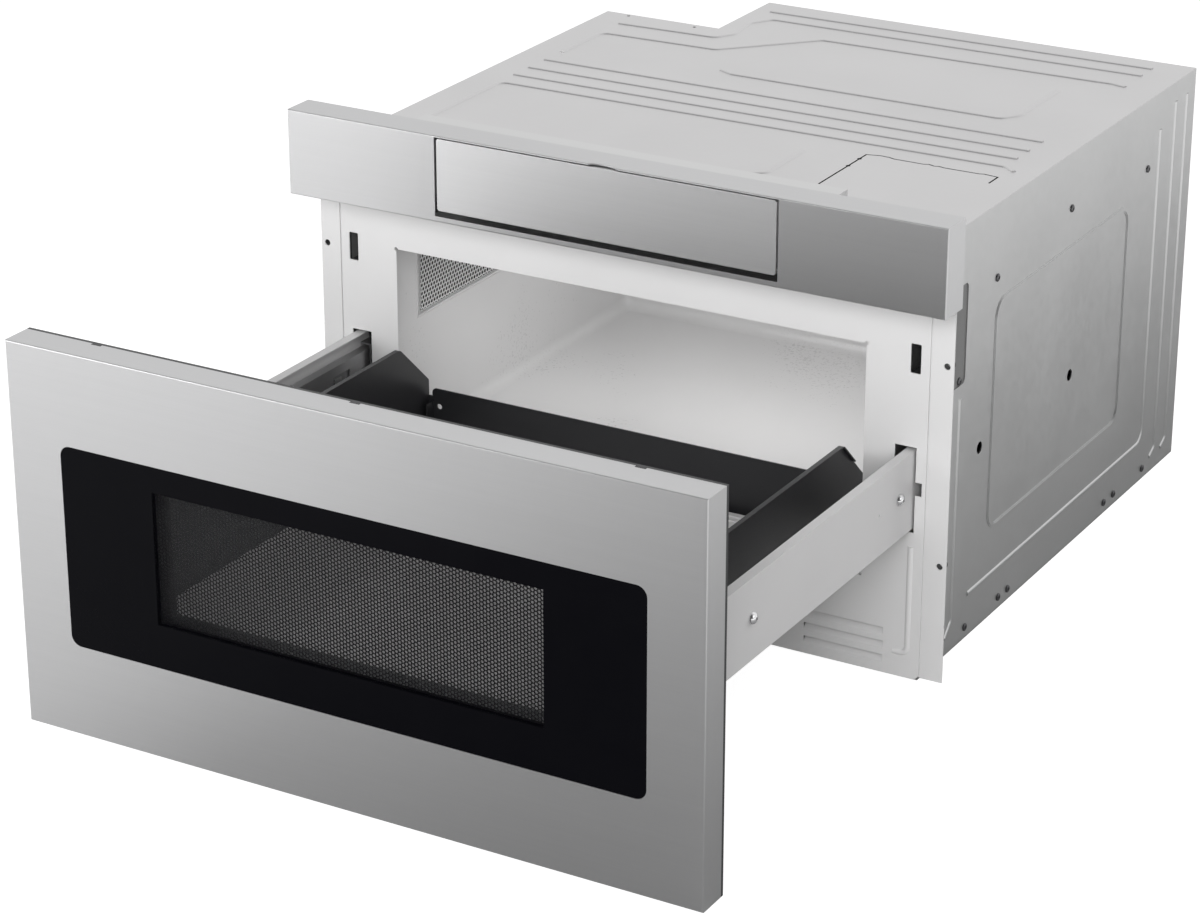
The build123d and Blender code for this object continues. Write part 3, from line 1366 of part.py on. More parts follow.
# ---- Power board, transformer and mains gland ---------------------------------------------------
with BuildPart() as inverter_board:
    block((board_left, board_right), (board_front, board_back),
          (board_height, board_height + board_sheet))
    for x in (board_left + board_edge, board_right - board_edge):
        for y in (board_front + board_edge, board_back - board_edge):
            with Locations((x, y, (base_sheet + board_height) / 2)):
                Cylinder(pillar_radius, board_height - base_sheet)
    sink_left = board_left + 2 * board_edge
    sink_ys = (board_front + 2 * board_edge, board_back - 2 * board_edge)
    for step in range(sink_fins):
        x = sink_left + step * sink_pitch
        block((x, x + sink_sheet), sink_ys,
              (board_height + board_sheet, board_height + board_sheet + sink_height))
    block((sink_left, sink_left + (sink_fins - 1) * sink_pitch + sink_sheet), sink_ys,
          (board_height + board_sheet, board_height + board_sheet + 2 * sink_sheet))
finish(inverter_board, "inverter_board")

with BuildPart() as inverter_transformer:
    corner_x = board_right - board_edge - transformer_width
    corner_y = board_front + 2 * board_edge
    low = board_height + board_sheet
    block((corner_x, corner_x + transformer_width), (corner_y, corner_y + transformer_depth),
          (low, low + transformer_height))
    block((corner_x + transformer_yoke, corner_x + transformer_width - transformer_yoke),
          (corner_y, corner_y + transformer_depth),
          (low + transformer_yoke, low + transformer_height - transformer_yoke), mode=Mode.SUBTRACT)
    with Locations(Location((corner_x + transformer_width / 2, corner_y + transformer_depth / 2,
                             low + transformer_height / 2), (90, 0, 0))):
        Cylinder(transformer_height / 2 - transformer_yoke + winding_sink, transformer_depth)
finish(inverter_transformer, "inverter_transformer")

with BuildPart() as mains_gland:
    with BuildSketch(facing_front(rear_y)):
        with Locations((gland_x, gland_z)):
            Circle(gland_radius)
            Circle(gland_bore, mode=Mode.SUBTRACT)
    extrude(amount=cabinet_sheet)
    with BuildSketch(facing_front(rear_y - cabinet_sheet)):
        with Locations((gland_x, gland_z)):
            Circle(gland_collar)
            Circle(gland_bore, mode=Mode.SUBTRACT)
    extrude(amount=gland_collar_depth)
finish(mains_gland, "mains_gland")

# ---- Interlock switches behind the latch slots --------------------------------------------------
switch_front = latch_tip + drawer_travel + plunger_gap
with BuildPart() as interlock_switches:
    plunger_bore = plunger_size + 2 * running_gap
    for name, sign in sides:
        xs = (sign * latch_slot_x - switch_half_width, sign * latch_slot_x + switch_half_width)
        zs = (latch_slot_z - switch_half_height, latch_slot_z + switch_half_height)
        block(xs, (switch_front + plunger_length / 2, switch_front + switch_depth), zs)
        block((sign * latch_slot_x - plunger_bore / 2, sign * latch_slot_x + plunger_bore / 2),
              (switch_front + plunger_length / 2, switch_front + plunger_length + plunger_travel + overcut),
              (latch_slot_z - plunger_bore / 2, latch_slot_z + plunger_bore / 2),
              mode=Mode.SUBTRACT)
        for z in (zs[0], zs[1] - switch_arm):
            block(xs, (plate_sheet, switch_front + plunger_length / 2), (z, z + switch_arm))
finish(interlock_switches, "interlock_switches")

with BuildPart() as interlock_plungers:
    for name, sign in sides:
        block((sign * latch_slot_x - plunger_size / 2, sign * latch_slot_x + plunger_size / 2),
              (switch_front, switch_front + plunger_length),
              (latch_slot_z - plunger_size / 2, latch_slot_z + plunger_size / 2))
finish(interlock_plungers, "interlock_plungers")
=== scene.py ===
import json
from math import cos, pi, radians, sin, sqrt

import bmesh
import bpy
from mathutils import Matrix, Vector


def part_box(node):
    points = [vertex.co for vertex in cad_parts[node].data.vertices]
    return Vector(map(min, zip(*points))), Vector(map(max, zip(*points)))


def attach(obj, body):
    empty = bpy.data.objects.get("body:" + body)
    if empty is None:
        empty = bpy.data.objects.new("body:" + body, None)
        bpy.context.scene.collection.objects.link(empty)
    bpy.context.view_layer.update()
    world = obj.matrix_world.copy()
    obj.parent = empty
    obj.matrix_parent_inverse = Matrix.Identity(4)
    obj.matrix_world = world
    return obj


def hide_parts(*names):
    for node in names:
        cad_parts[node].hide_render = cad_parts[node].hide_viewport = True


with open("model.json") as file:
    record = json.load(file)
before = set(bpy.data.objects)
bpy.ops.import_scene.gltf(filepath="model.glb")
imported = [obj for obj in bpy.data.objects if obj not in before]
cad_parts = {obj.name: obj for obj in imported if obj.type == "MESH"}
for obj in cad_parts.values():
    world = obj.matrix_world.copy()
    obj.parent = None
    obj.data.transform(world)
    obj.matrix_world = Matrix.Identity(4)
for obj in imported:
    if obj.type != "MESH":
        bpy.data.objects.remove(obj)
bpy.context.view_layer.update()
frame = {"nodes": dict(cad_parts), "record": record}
nodes = frame["nodes"]

MM = 0.001
CORNERS = ((-1, -1), (1, -1), (1, 1), (-1, 1))


# ---- Node helpers -------------------------------------------------------------------------------
class Nodes:
    """A node tree built step by step; an input is given a value or another node's output."""

    def __init__(self, tree):
        self.tree = tree

    def feed(self, socket, value):
        if isinstance(value, bpy.types.NodeSocket):
            self.tree.links.new(value, socket)
        else:
            socket.default_value = value

    def node(self, kind, settings=(), **inputs):
        made = self.tree.nodes.new(kind)
        for label, value in settings:
            setattr(made, label, value)
        for socket, value in inputs.items():
            self.feed(made.inputs[socket.replace("_", " ")], value)
        return made

    def math(self, operation, *values):
        made = self.node("ShaderNodeMath", [("operation", operation)])
        for socket, value in zip(made.inputs, values):
            self.feed(socket, value)
        return made.outputs["Value"]


# Places of a colour mix's two colours among its inputs, and of its result.
MIX_FIRST, MIX_SECOND, MIX_RESULT = 6, 7, 2
finishes = {}       # each finish's material, by its name


class Finish(Nodes):
    """A material: one Principled shader fed by patterns on Object coordinates."""

    def __init__(self, name, colour, roughness, metallic=0.0, **constants):
        self.material = bpy.data.materials.new(name)
        finishes[name] = self.material
        self.material.use_nodes = True
        super().__init__(self.material.node_tree)
        self.shader = self.tree.nodes["Principled BSDF"]
        self.colour = colour
        constants.update(Base_Color=(*colour, 1.0), Roughness=roughness, Metallic=metallic)
        for socket, value in constants.items():
            self.shader.inputs[socket.replace("_", " ")].default_value = value
        self.place = self.node("ShaderNodeTexCoord").outputs["Object"]

    def stretched(self, scale):
        """Object coordinates, drawn out or packed together along each axis."""
        return self.node("ShaderNodeMapping", Vector=self.place, Scale=scale).outputs["Vector"]

    def grain(self, scale, detail, coordinates=None):
        """A soft random pattern from 0 to 1, its scale in waves per metre."""
        return self.node("ShaderNodeTexNoise", Vector=coordinates or self.place, Scale=scale,
                         Detail=detail).outputs["Fac"]

    def axes(self):
        return self.node("ShaderNodeSeparateXYZ", Vector=self.place).outputs

    def spread(self, value, low, high, start=0.3, stop=0.7):
        """A pattern taken from start..stop to low..high."""
        return self.node("ShaderNodeMapRange", Value=value, From_Min=start, From_Max=stop,
                         To_Min=low, To_Max=high).outputs["Result"]

    def tint(self, share, first, second):
        """A colour between two, by a pattern."""
        made = self.node("ShaderNodeMix", [("data_type", "RGBA")], Factor=share)
        for place, value in ((MIX_FIRST, first), (MIX_SECOND, second)):
            self.feed(made.inputs[place], (*value, 1.0) if isinstance(value, tuple) else value)
        return made.outputs[MIX_RESULT]

    def shades(self, share, dark, light):
        """The finish's own colour between two shares of it, by a pattern."""
        return self.tint(share, *(tuple(channel * part for channel in self.colour)
                                  for part in (dark, light)))

    def relief(self, height, depth, strength):
        """Raises the surface by a pattern, depth metres from 0 to 1."""
        made = self.node("ShaderNodeBump", Height=height, Distance=depth, Strength=strength)
        self.wire(made.outputs["Normal"], "Normal")

    def wire(self, value, socket):
        self.tree.links.new(value, self.shader.inputs[socket])


# ---- Kinds of finish ----------------------------------------------------------------------------
BRUSH_LINES = (4.0, 1900.0, 1900.0)     # waves per metre along each axis
BRUSH_BROADENED = 9.0                   # how much wider the broad lines are
BRUSH_DEPTH = 0.006 * MM
PEEL = 520.0                            # orange peel of stoved paint
PEEL_DEPTH = 0.03 * MM
PEEL_STRENGTH = 0.25
PAINT_CLOUD = 7.0                       # slow drift of a painted surface
PAINT_SHADES = (0.97, 1.02)


def brushed(name, colour, roughness, along=BRUSH_LINES):
    """Stainless sheet with fine brush lines along one axis."""
    steel = Finish(name, colour, roughness, metallic=1.0)
    lines = steel.grain(1.0, 5.0, steel.stretched(along))
    broad = steel.grain(1.0, 2.0, steel.stretched([axis / BRUSH_BROADENED for axis in along]))
    cloud = steel.grain(5.0, 2.0)
    share = steel.math("ADD", steel.math("MULTIPLY", lines, 0.7),
                       steel.math("MULTIPLY", broad, 0.3))
    steel.wire(steel.shades(steel.spread(share, 0.0, 1.0), 0.975, 1.015), "Base Color")
    steel.wire(steel.math("ADD", steel.spread(lines, roughness - 0.02, roughness + 0.02),
                          steel.spread(cloud, -0.015, 0.015)), "Roughness")
    steel.relief(lines, BRUSH_DEPTH, 0.2)


def galvanised(name, colour, roughness):
    """Zinc-coated sheet: faint crystals, a little cloudiness and fine pits."""
    zinc = Finish(name, colour, roughness, metallic=1.0)
    crystals = zinc.node("ShaderNodeTexVoronoi", Vector=zinc.place, Scale=160.0)
    speck = zinc.node("ShaderNodeSeparateColor", Color=crystals.outputs["Color"]).outputs["Red"]
    cloud = zinc.grain(9.0, 3.0)
    pits = zinc.grain(1400.0, 2.0)
    share = zinc.math("ADD", zinc.math("MULTIPLY", speck, 0.35),
                      zinc.math("MULTIPLY", cloud, 0.65))
    zinc.wire(zinc.shades(share, 0.96, 1.03), "Base Color")
    zinc.wire(zinc.math("ADD", zinc.spread(speck, -0.02, 0.02, 0.0, 1.0),
                        zinc.spread(cloud, roughness - 0.03, roughness + 0.04)), "Roughness")
    zinc.relief(pits, 0.02 * MM, 0.15)


def painted(name, colour, roughness, peel=PEEL, depth=PEEL_DEPTH, coat=0.0):
    """Stoved paint or enamel with a fine orange peel."""
    paint = Finish(name, colour, roughness, Coat_Weight=coat, Coat_Roughness=0.12)
    skin = paint.grain(peel, 2.0)
    cloud = paint.grain(PAINT_CLOUD, 3.0)
    paint.wire(paint.shades(paint.spread(cloud, 0.0, 1.0), *PAINT_SHADES), "Base Color")
    paint.wire(paint.math("ADD", paint.spread(skin, -0.03, 0.03),
                          paint.spread(cloud, roughness - 0.02, roughness + 0.03)), "Roughness")
    paint.relief(skin, depth, PEEL_STRENGTH)


def flange_coat_and_shade(name, colour, front, leg):
    """White paint on the front face; painted shade behind it: near black just behind the face, and
    the leg's zinc grey darkened by painted shade.
    """
    coat = Finish(name, colour, 0.40)
    depth = coat.axes()["Y"]
    behind = coat.math("GREATER_THAN", depth, front)
    # Painted shade: near black just behind the front face, a darkened grey on the leg further
    # back.
    painted_shade = coat.tint(coat.math("GREATER_THAN", depth, leg), (0.012, 0.012, 0.012),
                     (0.20, 0.20, 0.20))
    skin = coat.grain(PEEL, 2.0)
    paint = coat.shades(coat.spread(coat.grain(PAINT_CLOUD, 3.0), 0.0, 1.0), *PAINT_SHADES)
    coat.wire(coat.tint(behind, paint, painted_shade), "Base Color")
    coat.wire(coat.math("ADD", coat.spread(skin, 0.37, 0.43),
                        coat.math("MULTIPLY", behind, 0.1)), "Roughness")
    coat.relief(skin, PEEL_DEPTH, PEEL_STRENGTH)


def moulded(name, colour, roughness=0.5, texture=700.0):
    """Moulded plastic or rubber with a fine spark-eroded texture."""
    plastic = Finish(name, colour, roughness)
    skin = plastic.grain(texture, 4.0)
    cloud = plastic.grain(12.0, 2.0)
    plastic.wire(plastic.shades(plastic.spread(cloud, 0.0, 1.0), 0.92, 1.06), "Base Color")
    plastic.wire(plastic.spread(skin, roughness - 0.06, roughness + 0.06), "Roughness")
    plastic.relief(skin, 0.06 * MM, 0.3)


def cast(name, colour, roughness, scratches=60.0):
    """Plain turned, rolled or plated metal with faint marks."""
    metal = Finish(name, colour, roughness, metallic=1.0)
    across, along = scratches * 6, scratches * 0.4
    marks = metal.grain(1.0, 4.0, metal.stretched((across, along, across)))
    cloud = metal.grain(25.0, 3.0)
    metal.wire(metal.shades(metal.spread(cloud, 0.0, 1.0), 0.93, 1.04), "Base Color")
    metal.wire(metal.math("ADD", metal.spread(marks, -0.05, 0.05),
                          metal.spread(cloud, roughness - 0.04, roughness + 0.04)), "Roughness")
    metal.relief(marks, 0.03 * MM, 0.2)


def clear(name, colour, alpha, roughness=0.04):
    """A thin pane or bulb, seen through by its alpha, with a faint film of dust."""
    pane = Finish(name, colour, roughness, Alpha=alpha, IOR=1.5)
    film = pane.grain(18.0, 4.0)
    pane.wire(pane.spread(film, roughness, roughness + 0.05), "Roughness")
    pane.wire(pane.shades(film, 0.95, 1.0), "Base Color")


def window_pane(name, centre, half_width, half_height):
    """Black printed door glass, printed more openly in front of the screen."""
    pane = Finish(name, (0.002, 0.002, 0.003), 0.05, IOR=1.5, Specular_IOR_Level=0.05)
    axes = pane.axes()
    across = pane.math("ABSOLUTE", axes["X"])
    up = pane.math("ABSOLUTE", pane.math("SUBTRACT", axes["Z"], centre))
    inside = pane.math("MULTIPLY", pane.math("LESS_THAN", across, half_width),
                       pane.math("LESS_THAN", up, half_height))
    pane.wire(pane.spread(inside, 1.0, 0.25, 0.0, 1.0), "Alpha")
    film = pane.grain(30.0, 4.0)
    pane.wire(pane.spread(film, 0.04, 0.09), "Roughness")
    pane.wire(pane.tint(film, (0.0015, 0.0015, 0.0025), (0.0025, 0.0025, 0.0035)), "Base Color")


# ---- Finishes of the CAD nodes ------------------------------------------------------------------
PAINT_WHITE = (0.68, 0.677, 0.678)
TUB_LINES = (3.0, 500.0, 500.0)
ENAMEL_PEEL = 420.0
SCREW_SCRATCHES = 160.0
OPEN_PRINT = (170.8 * MM, 171.5 * MM, 55.0 * MM)    # middle's height, half width, half height
FLANGE_FRONT, FLANGE_LEG = 1.25 * MM, 9.0 * MM      # depths where its white paint ends and where its near-black painted shade turns to the leg's darker grey

brushed("stainless_door", (0.60, 0.60, 0.605), 0.38)
brushed("stainless_panel", (0.66, 0.66, 0.665), 0.50)
brushed("stainless_flap", (0.80, 0.80, 0.805), 0.52)
brushed("stainless_tub", (0.66, 0.66, 0.66), 0.36, TUB_LINES)
moulded("flap_black", (0.015, 0.015, 0.016), 0.45)
painted("touch_glass", (0.008, 0.008, 0.010), 0.06, 60.0, 0.0, coat=1.0)
cast("pin_steel", (0.50, 0.50, 0.51), 0.30)
painted("door_black", (0.022, 0.022, 0.024), 0.42)
window_pane("window_glass", *OPEN_PRINT)
painted("screen_black", (0.020, 0.020, 0.022), 0.45)
clear("inner_glass", (0.70, 0.74, 0.73), 0.10)
moulded("latch_black", (0.020, 0.020, 0.020))
painted("drawer_black", (0.020, 0.020, 0.022), 0.40, 900.0)
painted("tray_white", (0.80, 0.79, 0.79), 0.30, 400.0, coat=0.3)
painted("bracket_white", (0.64, 0.635, 0.638), 0.36)
cast("slide_zinc", (0.62, 0.62, 0.625), 0.50)
cast("cage_steel", (0.45, 0.45, 0.46), 0.40)
galvanised("galvanised_top", (0.66, 0.655, 0.658), 0.40)
galvanised("galvanised_side", (0.64, 0.642, 0.642), 0.40)
galvanised("galvanised_base", (0.52, 0.525, 0.525), 0.46)
painted("plate_white", PAINT_WHITE, 0.40)
# The flange's back and leg carry painted shade, its front face white paint.
flange_coat_and_shade("flange_white", PAINT_WHITE, FLANGE_FRONT, FLANGE_LEG)
painted("cavity_enamel", (0.74, 0.737, 0.738), 0.30, ENAMEL_PEEL, coat=1.0)
cast("screw_bright", (0.80, 0.80, 0.81), 0.16, SCREW_SCRATCHES)
cast("screw_dark", (0.13, 0.13, 0.135), 0.30, SCREW_SCRATCHES)
moulded("nylon_white", (0.66, 0.64, 0.57), 0.45)
moulded("gearbox_grey", (0.07, 0.07, 0.073))
cast("motor_steel", (0.50, 0.50, 0.505), 0.34)
painted("mica", (0.46, 0.40, 0.31), 0.45, 90.0, 0.1 * MM)
cast("magnetron_metal", (0.62, 0.62, 0.63), 0.38)
cast("stirrer_metal", (0.66, 0.66, 0.67), 0.34)
moulded("fan_black", (0.018, 0.018, 0.019))
painted("board_green", (0.020, 0.090, 0.040), 0.35, 300.0)
painted("transformer_iron", (0.075, 0.048, 0.028), 0.55, 300.0, 0.15 * MM)
# Near-black painted shade for the inside of the lamp duct.
painted("duct_dark", (0.03, 0.03, 0.03), 0.6)
moulded("gland_black", (0.012, 0.012, 0.012), 0.62, 300.0)
clear("lamp_clear", (0.85, 0.83, 0.74), 0.35, 0.05)
moulded("switch_grey", (0.045, 0.045, 0.047))
moulded("plunger_white", (0.60, 0.58, 0.52), 0.40)

for part in frame["record"]["subparts"]:
    mesh = nodes[part["node"]].data
    mesh.materials.clear()
    mesh.materials.append(finishes[part["material_slot"]])
# The lamp duct's sheet is painted near black as shade, so that the holes of its window read dark.
nodes["lamp_duct"].data.materials[0] = finishes["duct_dark"]


# ---- Geometry helpers ---------------------------------------------------------------------------
class Recipe(Nodes):
    """A geometry node tree with named inputs."""

    def __init__(self, name, **sizes):
        super().__init__(bpy.data.node_groups.new(name, "GeometryNodeTree"))
        self.tree.is_modifier = True
        side = self.tree.interface
        side.new_socket("Geometry", in_out="INPUT", socket_type="NodeSocketGeometry")
        side.new_socket("Geometry", in_out="OUTPUT", socket_type="NodeSocketGeometry")
        for label, kind in sizes.items():
            side.new_socket(label, in_out="INPUT", socket_type=f"NodeSocket{kind}")
        self.given = self.node("NodeGroupInput").outputs
        self.result = self.node("NodeGroupOutput").inputs["Geometry"]

    def vector(self, **axes):
        return self.node("ShaderNodeCombineXYZ", **axes).outputs["Vector"]

    def end(self, geometry):
        """Realize Instances, then Set Material, then out."""
        whole = self.node("GeometryNodeRealizeInstances", Geometry=geometry)
        coated = self.node("GeometryNodeSetMaterial", Geometry=whole.outputs["Geometry"],
                           Material=self.given["Finish"])
        self.feed(self.result, coated.outputs["Geometry"])

    def apply(self, name, source, **values):
        """Runs the recipe on an object, its inputs set by identifier, and makes a plain mesh."""
        modifier = source.modifiers.new("recipe", "NODES")
        modifier.node_group = self.tree
        for item in self.tree.interface.items_tree:
            if item.item_type == "SOCKET" and item.in_out == "INPUT" and item.name in values:
                modifier[item.identifier] = values[item.name]
        source.update_tag()
        mesh = evaluated_mesh(source)
        mesh.name = name
        bpy.data.objects.remove(source)
        return new_object(name, mesh)


def evaluated_mesh(source):
    """A plain mesh of an object with its modifiers run."""
    bpy.context.view_layer.update()
    graph = bpy.context.evaluated_depsgraph_get()
    return bpy.data.meshes.new_from_object(source.evaluated_get(graph))


def new_object(name, data):
    made = bpy.data.objects.new(name, data)
    bpy.context.scene.collection.objects.link(made)
    return made


def mesh_from(name, points, faces=()):
    mesh = bpy.data.meshes.new(name)
    mesh.from_pydata([tuple(point) for point in points], [], faces)
    return new_object(name, mesh)


def object_from(name, work):
    mesh = bpy.data.meshes.new(name)
    work.to_mesh(mesh)
    work.free()
    return new_object(name, mesh)


def band(work, ring, following):
    """Faces between two rings of as many points."""
    for here in range(len(ring)):
        beside = (here + 1) % len(ring)
        work.faces.new((ring[here], ring[beside], following[beside], following[here]))


def rectangle(work, half_x, half_y, z):
    """Four points round the Z axis."""
    return [work.verts.new((x * half_x, y * half_y, z)) for x, y in CORNERS]


def smooth(piece, angle):
    """Smooth shading that keeps edges sharper than the angle."""
    piece.data.shade_smooth()
    work = bmesh.new()
    work.from_mesh(piece.data)
    for edge in work.edges:
        if len(edge.link_faces) == 2 and edge.calc_face_angle(0) > radians(angle):
            edge.smooth = False
    work.to_mesh(piece.data)
    work.free()


def islands(node):
    """Lowest and highest corner of each separate solid of a CAD node."""
    work = bmesh.new()
    work.from_mesh(nodes[node].data)
    bmesh.ops.remove_doubles(work, verts=work.verts, dist=0.001 * MM)
    boxes, seen = [], set()
    for start in work.verts:
        if start in seen:
            continue
        seen.add(start)
        queue, members = [start], []
        while queue:
            vert = queue.pop()
            members.append(vert.co.copy())
            for edge in vert.link_edges:
                other = edge.other_vert(vert)
                if other not in seen:
                    seen.add(other)
                    queue.append(other)
        low = Vector(min(point[axis] for point in members) for axis in range(3))
        high = Vector(max(point[axis] for point in members) for axis in range(3))
        boxes.append((low, high))
    work.free()
    return boxes


# ---- Perforated sheet: staggered holes, one closed cell for each --------------------------------
CELL_SIDES = 6
ROW_RISE = sqrt(3) / 2      # between rows, in pitches


def perforated_sheet():
    sheet = Recipe("perforated_sheet", Pitch="Float", Hole_share="Float", Sheet="Float",
                   Columns="Int", Rows="Int", Hole_sides="Int", Finish="Material")
    pitch = sheet.given["Pitch"]
    rise = sheet.math("MULTIPLY", pitch, ROW_RISE)
    columns, rows = sheet.given["Columns"], sheet.given["Rows"]
    across = sheet.math("MULTIPLY", pitch, sheet.math("SUBTRACT", columns, 1.0))
    up = sheet.math("MULTIPLY", rise, sheet.math("SUBTRACT", rows, 1.0))
    grid = sheet.node("GeometryNodeMeshGrid", Size_X=across, Size_Y=up, Vertices_X=columns,
                      Vertices_Y=rows)
    place = sheet.node("GeometryNodeInputPosition").outputs["Position"]
    height = sheet.math("ADD", sheet.node("ShaderNodeSeparateXYZ", Vector=place).outputs["Y"],
                        sheet.math("MULTIPLY", up, 0.5))
    row = sheet.math("ROUND", sheet.math("DIVIDE", height, rise))
    odd = sheet.math("MODULO", row, 2.0)
    stagger = sheet.math("MULTIPLY", sheet.math("SUBTRACT", odd, 0.5),
                         sheet.math("MULTIPLY", pitch, 0.5))
    moved = sheet.node("GeometryNodeSetPosition", Geometry=grid.outputs["Mesh"],
                       Offset=sheet.vector(X=stagger))
    # One cell: a six-sided rim whose inner edge turns down through the sheet's thickness.
    outline = sheet.node("GeometryNodeMeshCircle", [("fill_type", "NGON")],
                         Vertices=sheet.given["Hole_sides"],
                         Radius=sheet.math("DIVIDE", pitch, sqrt(3)))
    rim = sheet.node("GeometryNodeExtrudeMesh", [("mode", "FACES")],
                     Mesh=outline.outputs["Mesh"], Offset_Scale=0.0)
    narrowed = sheet.node("GeometryNodeScaleElements", [("domain", "FACE")],
                          Geometry=rim.outputs["Mesh"], Selection=rim.outputs["Top"],
                          Scale=sheet.given["Hole_share"])
    wall = sheet.node("GeometryNodeExtrudeMesh", [("mode", "FACES")],
                      Mesh=narrowed.outputs["Geometry"], Selection=rim.outputs["Top"],
                      Offset_Scale=sheet.math("MULTIPLY", sheet.given["Sheet"], -1.0))
    ring = sheet.node("GeometryNodeDeleteGeometry", [("domain", "FACE")],
                      Geometry=wall.outputs["Mesh"], Selection=wall.outputs["Top"])
    cell = sheet.node("GeometryNodeTransform", Geometry=ring.outputs["Geometry"],
                      Rotation=(0.0, 0.0, pi / CELL_SIDES))
    cells = sheet.node("GeometryNodeInstanceOnPoints", Points=moved.outputs["Geometry"],
                       Instance=cell.outputs["Geometry"])
    sheet.end(cells.outputs["Instances"])
    return sheet


sheet_recipe = perforated_sheet()


def border(piece, inner, outer, thickness, finish):
    """Adds a plain rectangular rim to a perforated field in its own XY plane."""
    work = bmesh.new()
    work.from_mesh(piece.data)
    rings = [rectangle(work, *half, z) for half, z in ((inner, 0.0), (outer, 0.0),
                                                       (outer, -thickness), (inner, -thickness))]
    for ring, following in zip(rings, rings[1:] + rings[:1]):
        band(work, following, ring)
    rim_faces = len(rings) * len(CORNERS)
    bmesh.ops.recalc_face_normals(work, faces=work.faces[-rim_faces:])
    for face in work.faces:
        face.material_index = 0
    work.to_mesh(piece.data)
    work.free()
    piece.data.materials.clear()
    piece.data.materials.append(finish)


def screen(name, finish, pitch, wall, columns, rows, outer, thickness, place):
    """A perforated field with a rim, holes along its own Z axis, each point set by place."""
    piece = sheet_recipe.apply(name, mesh_from(name + "_seed", [(0, 0, 0)]), Pitch=pitch,
                               Hole_share=HOLE_SHARE, Sheet=wall, Columns=columns, Rows=rows,
                               Hole_sides=CELL_SIDES, Finish=finish)
    inner = ((columns - 1.5) / 2 * pitch, (rows - 1) / 2 * pitch * ROW_RISE)
    border(piece, inner, outer, thickness, finish)
    for vert in piece.data.vertices:
        vert.co = place(*vert.co)
    return piece


HOLE_SHARE = 0.72           # a hole's width over its cell's
SCREEN_PITCH = 3.3 * MM
SCREEN_EDGE = 2.0 * MM
LAMP_PITCH = 4.4 * MM
LAMP_COLUMNS, LAMP_ROWS = 31, 16
LAMP_WALL = 0.3 * MM        # depth of its holes

# The screen behind the door glass: black sheet with fine holes in upright columns.
low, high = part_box("door_screen")
middle, size = (low + high) / 2, high - low
screen_columns = int((size.z - 2 * SCREEN_EDGE) / SCREEN_PITCH)
screen_rows = int((size.x - 2 * SCREEN_EDGE) / (SCREEN_PITCH * ROW_RISE))
door_screen = screen("window_screen", finishes["screen_black"], SCREEN_PITCH, size.y,
                     screen_columns, screen_rows, (size.z / 2, size.x / 2), size.y,
                     lambda x, y, z: (middle.x - y, low.y - z, middle.z + x))
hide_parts("door_screen")
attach(door_screen, "drawer")

# The lamp's window in the left wall of the cavity.
low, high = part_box("lamp_screen")
middle, size = (low + high) / 2, high - low
lamp_screen = screen("lamp_window", finishes["cavity_enamel"], LAMP_PITCH, LAMP_WALL,
                     LAMP_COLUMNS, LAMP_ROWS, (size.y / 2, size.z / 2), size.x,
                     lambda x, y, z: (high.x + z, middle.y + x, middle.z + y))
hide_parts("lamp_screen")
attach(lamp_screen, "chassis")


# ---- Screws -------------------------------------------------------------------------------------
HEAD_SIDES = 24
DOME_STEPS = 5
ARM_WIDTH = 0.28            # a recess arm's width over its length
RECESS_MOUTH = 1.2          # height where the cutter starts, over the head's
RECESS_FOOT = 0.45          # the recess floor's size over its mouth's
SMOOTH_ANGLE = 30.0
TURN_SEED = 7


def head_body(name, radius, rise, flat):
    """A domed head on its own Z axis, standing on the plane z = 0."""
    profile = [(radius, 0.0), (radius, flat * rise)]
    for step in range(1, DOME_STEPS):
        turn = step / DOME_STEPS * pi / 2
        profile.append((radius * cos(turn), rise * (flat + (1 - flat) * sin(turn))))
    work = bmesh.new()
    turns = [2 * pi * side / HEAD_SIDES for side in range(HEAD_SIDES)]
    rings = [[work.verts.new((reach * cos(turn), reach * sin(turn), height)) for turn in turns]
             for reach, height in profile]
    crown = work.verts.new((0.0, 0.0, rise))
    for ring, above in zip(rings, rings[1:]):
        band(work, ring, above)
    for side in range(HEAD_SIDES):
        work.faces.new((rings[-1][side], rings[-1][(side + 1) % HEAD_SIDES], crown))
    work.faces.new(list(reversed(rings[0])))
    return object_from(name, work)


def recess_cutter(name, rise, cross, deep):
    """Two crossed arms that narrow downwards."""
    work = bmesh.new()
    narrow = cross * ARM_WIDTH
    for half_x, half_y in ((narrow, cross), (cross, narrow)):
        top = rectangle(work, half_x, half_y, rise * RECESS_MOUTH)
        base = rectangle(work, half_x * RECESS_FOOT, half_y * RECESS_FOOT, rise - deep)
        work.faces.new(top)
        work.faces.new(list(reversed(base)))
        band(work, base, top)
    return object_from(name, work)


def screw_head(name, radius, rise, flat, cross, deep):
    """A domed head with a cross recess."""
    head = head_body(name, radius, rise, flat)
    cutter = recess_cutter(name + "_recess", rise, cross, deep)
    cut = head.modifiers.new("recess", "BOOLEAN")
    cut.operation = "DIFFERENCE"
    cut.solver = "EXACT"
    cut.use_self = True
    cut.object = cutter
    finished = evaluated_mesh(head)
    bpy.data.objects.remove(head)
    bpy.data.objects.remove(cutter)
    return new_object(name, finished)


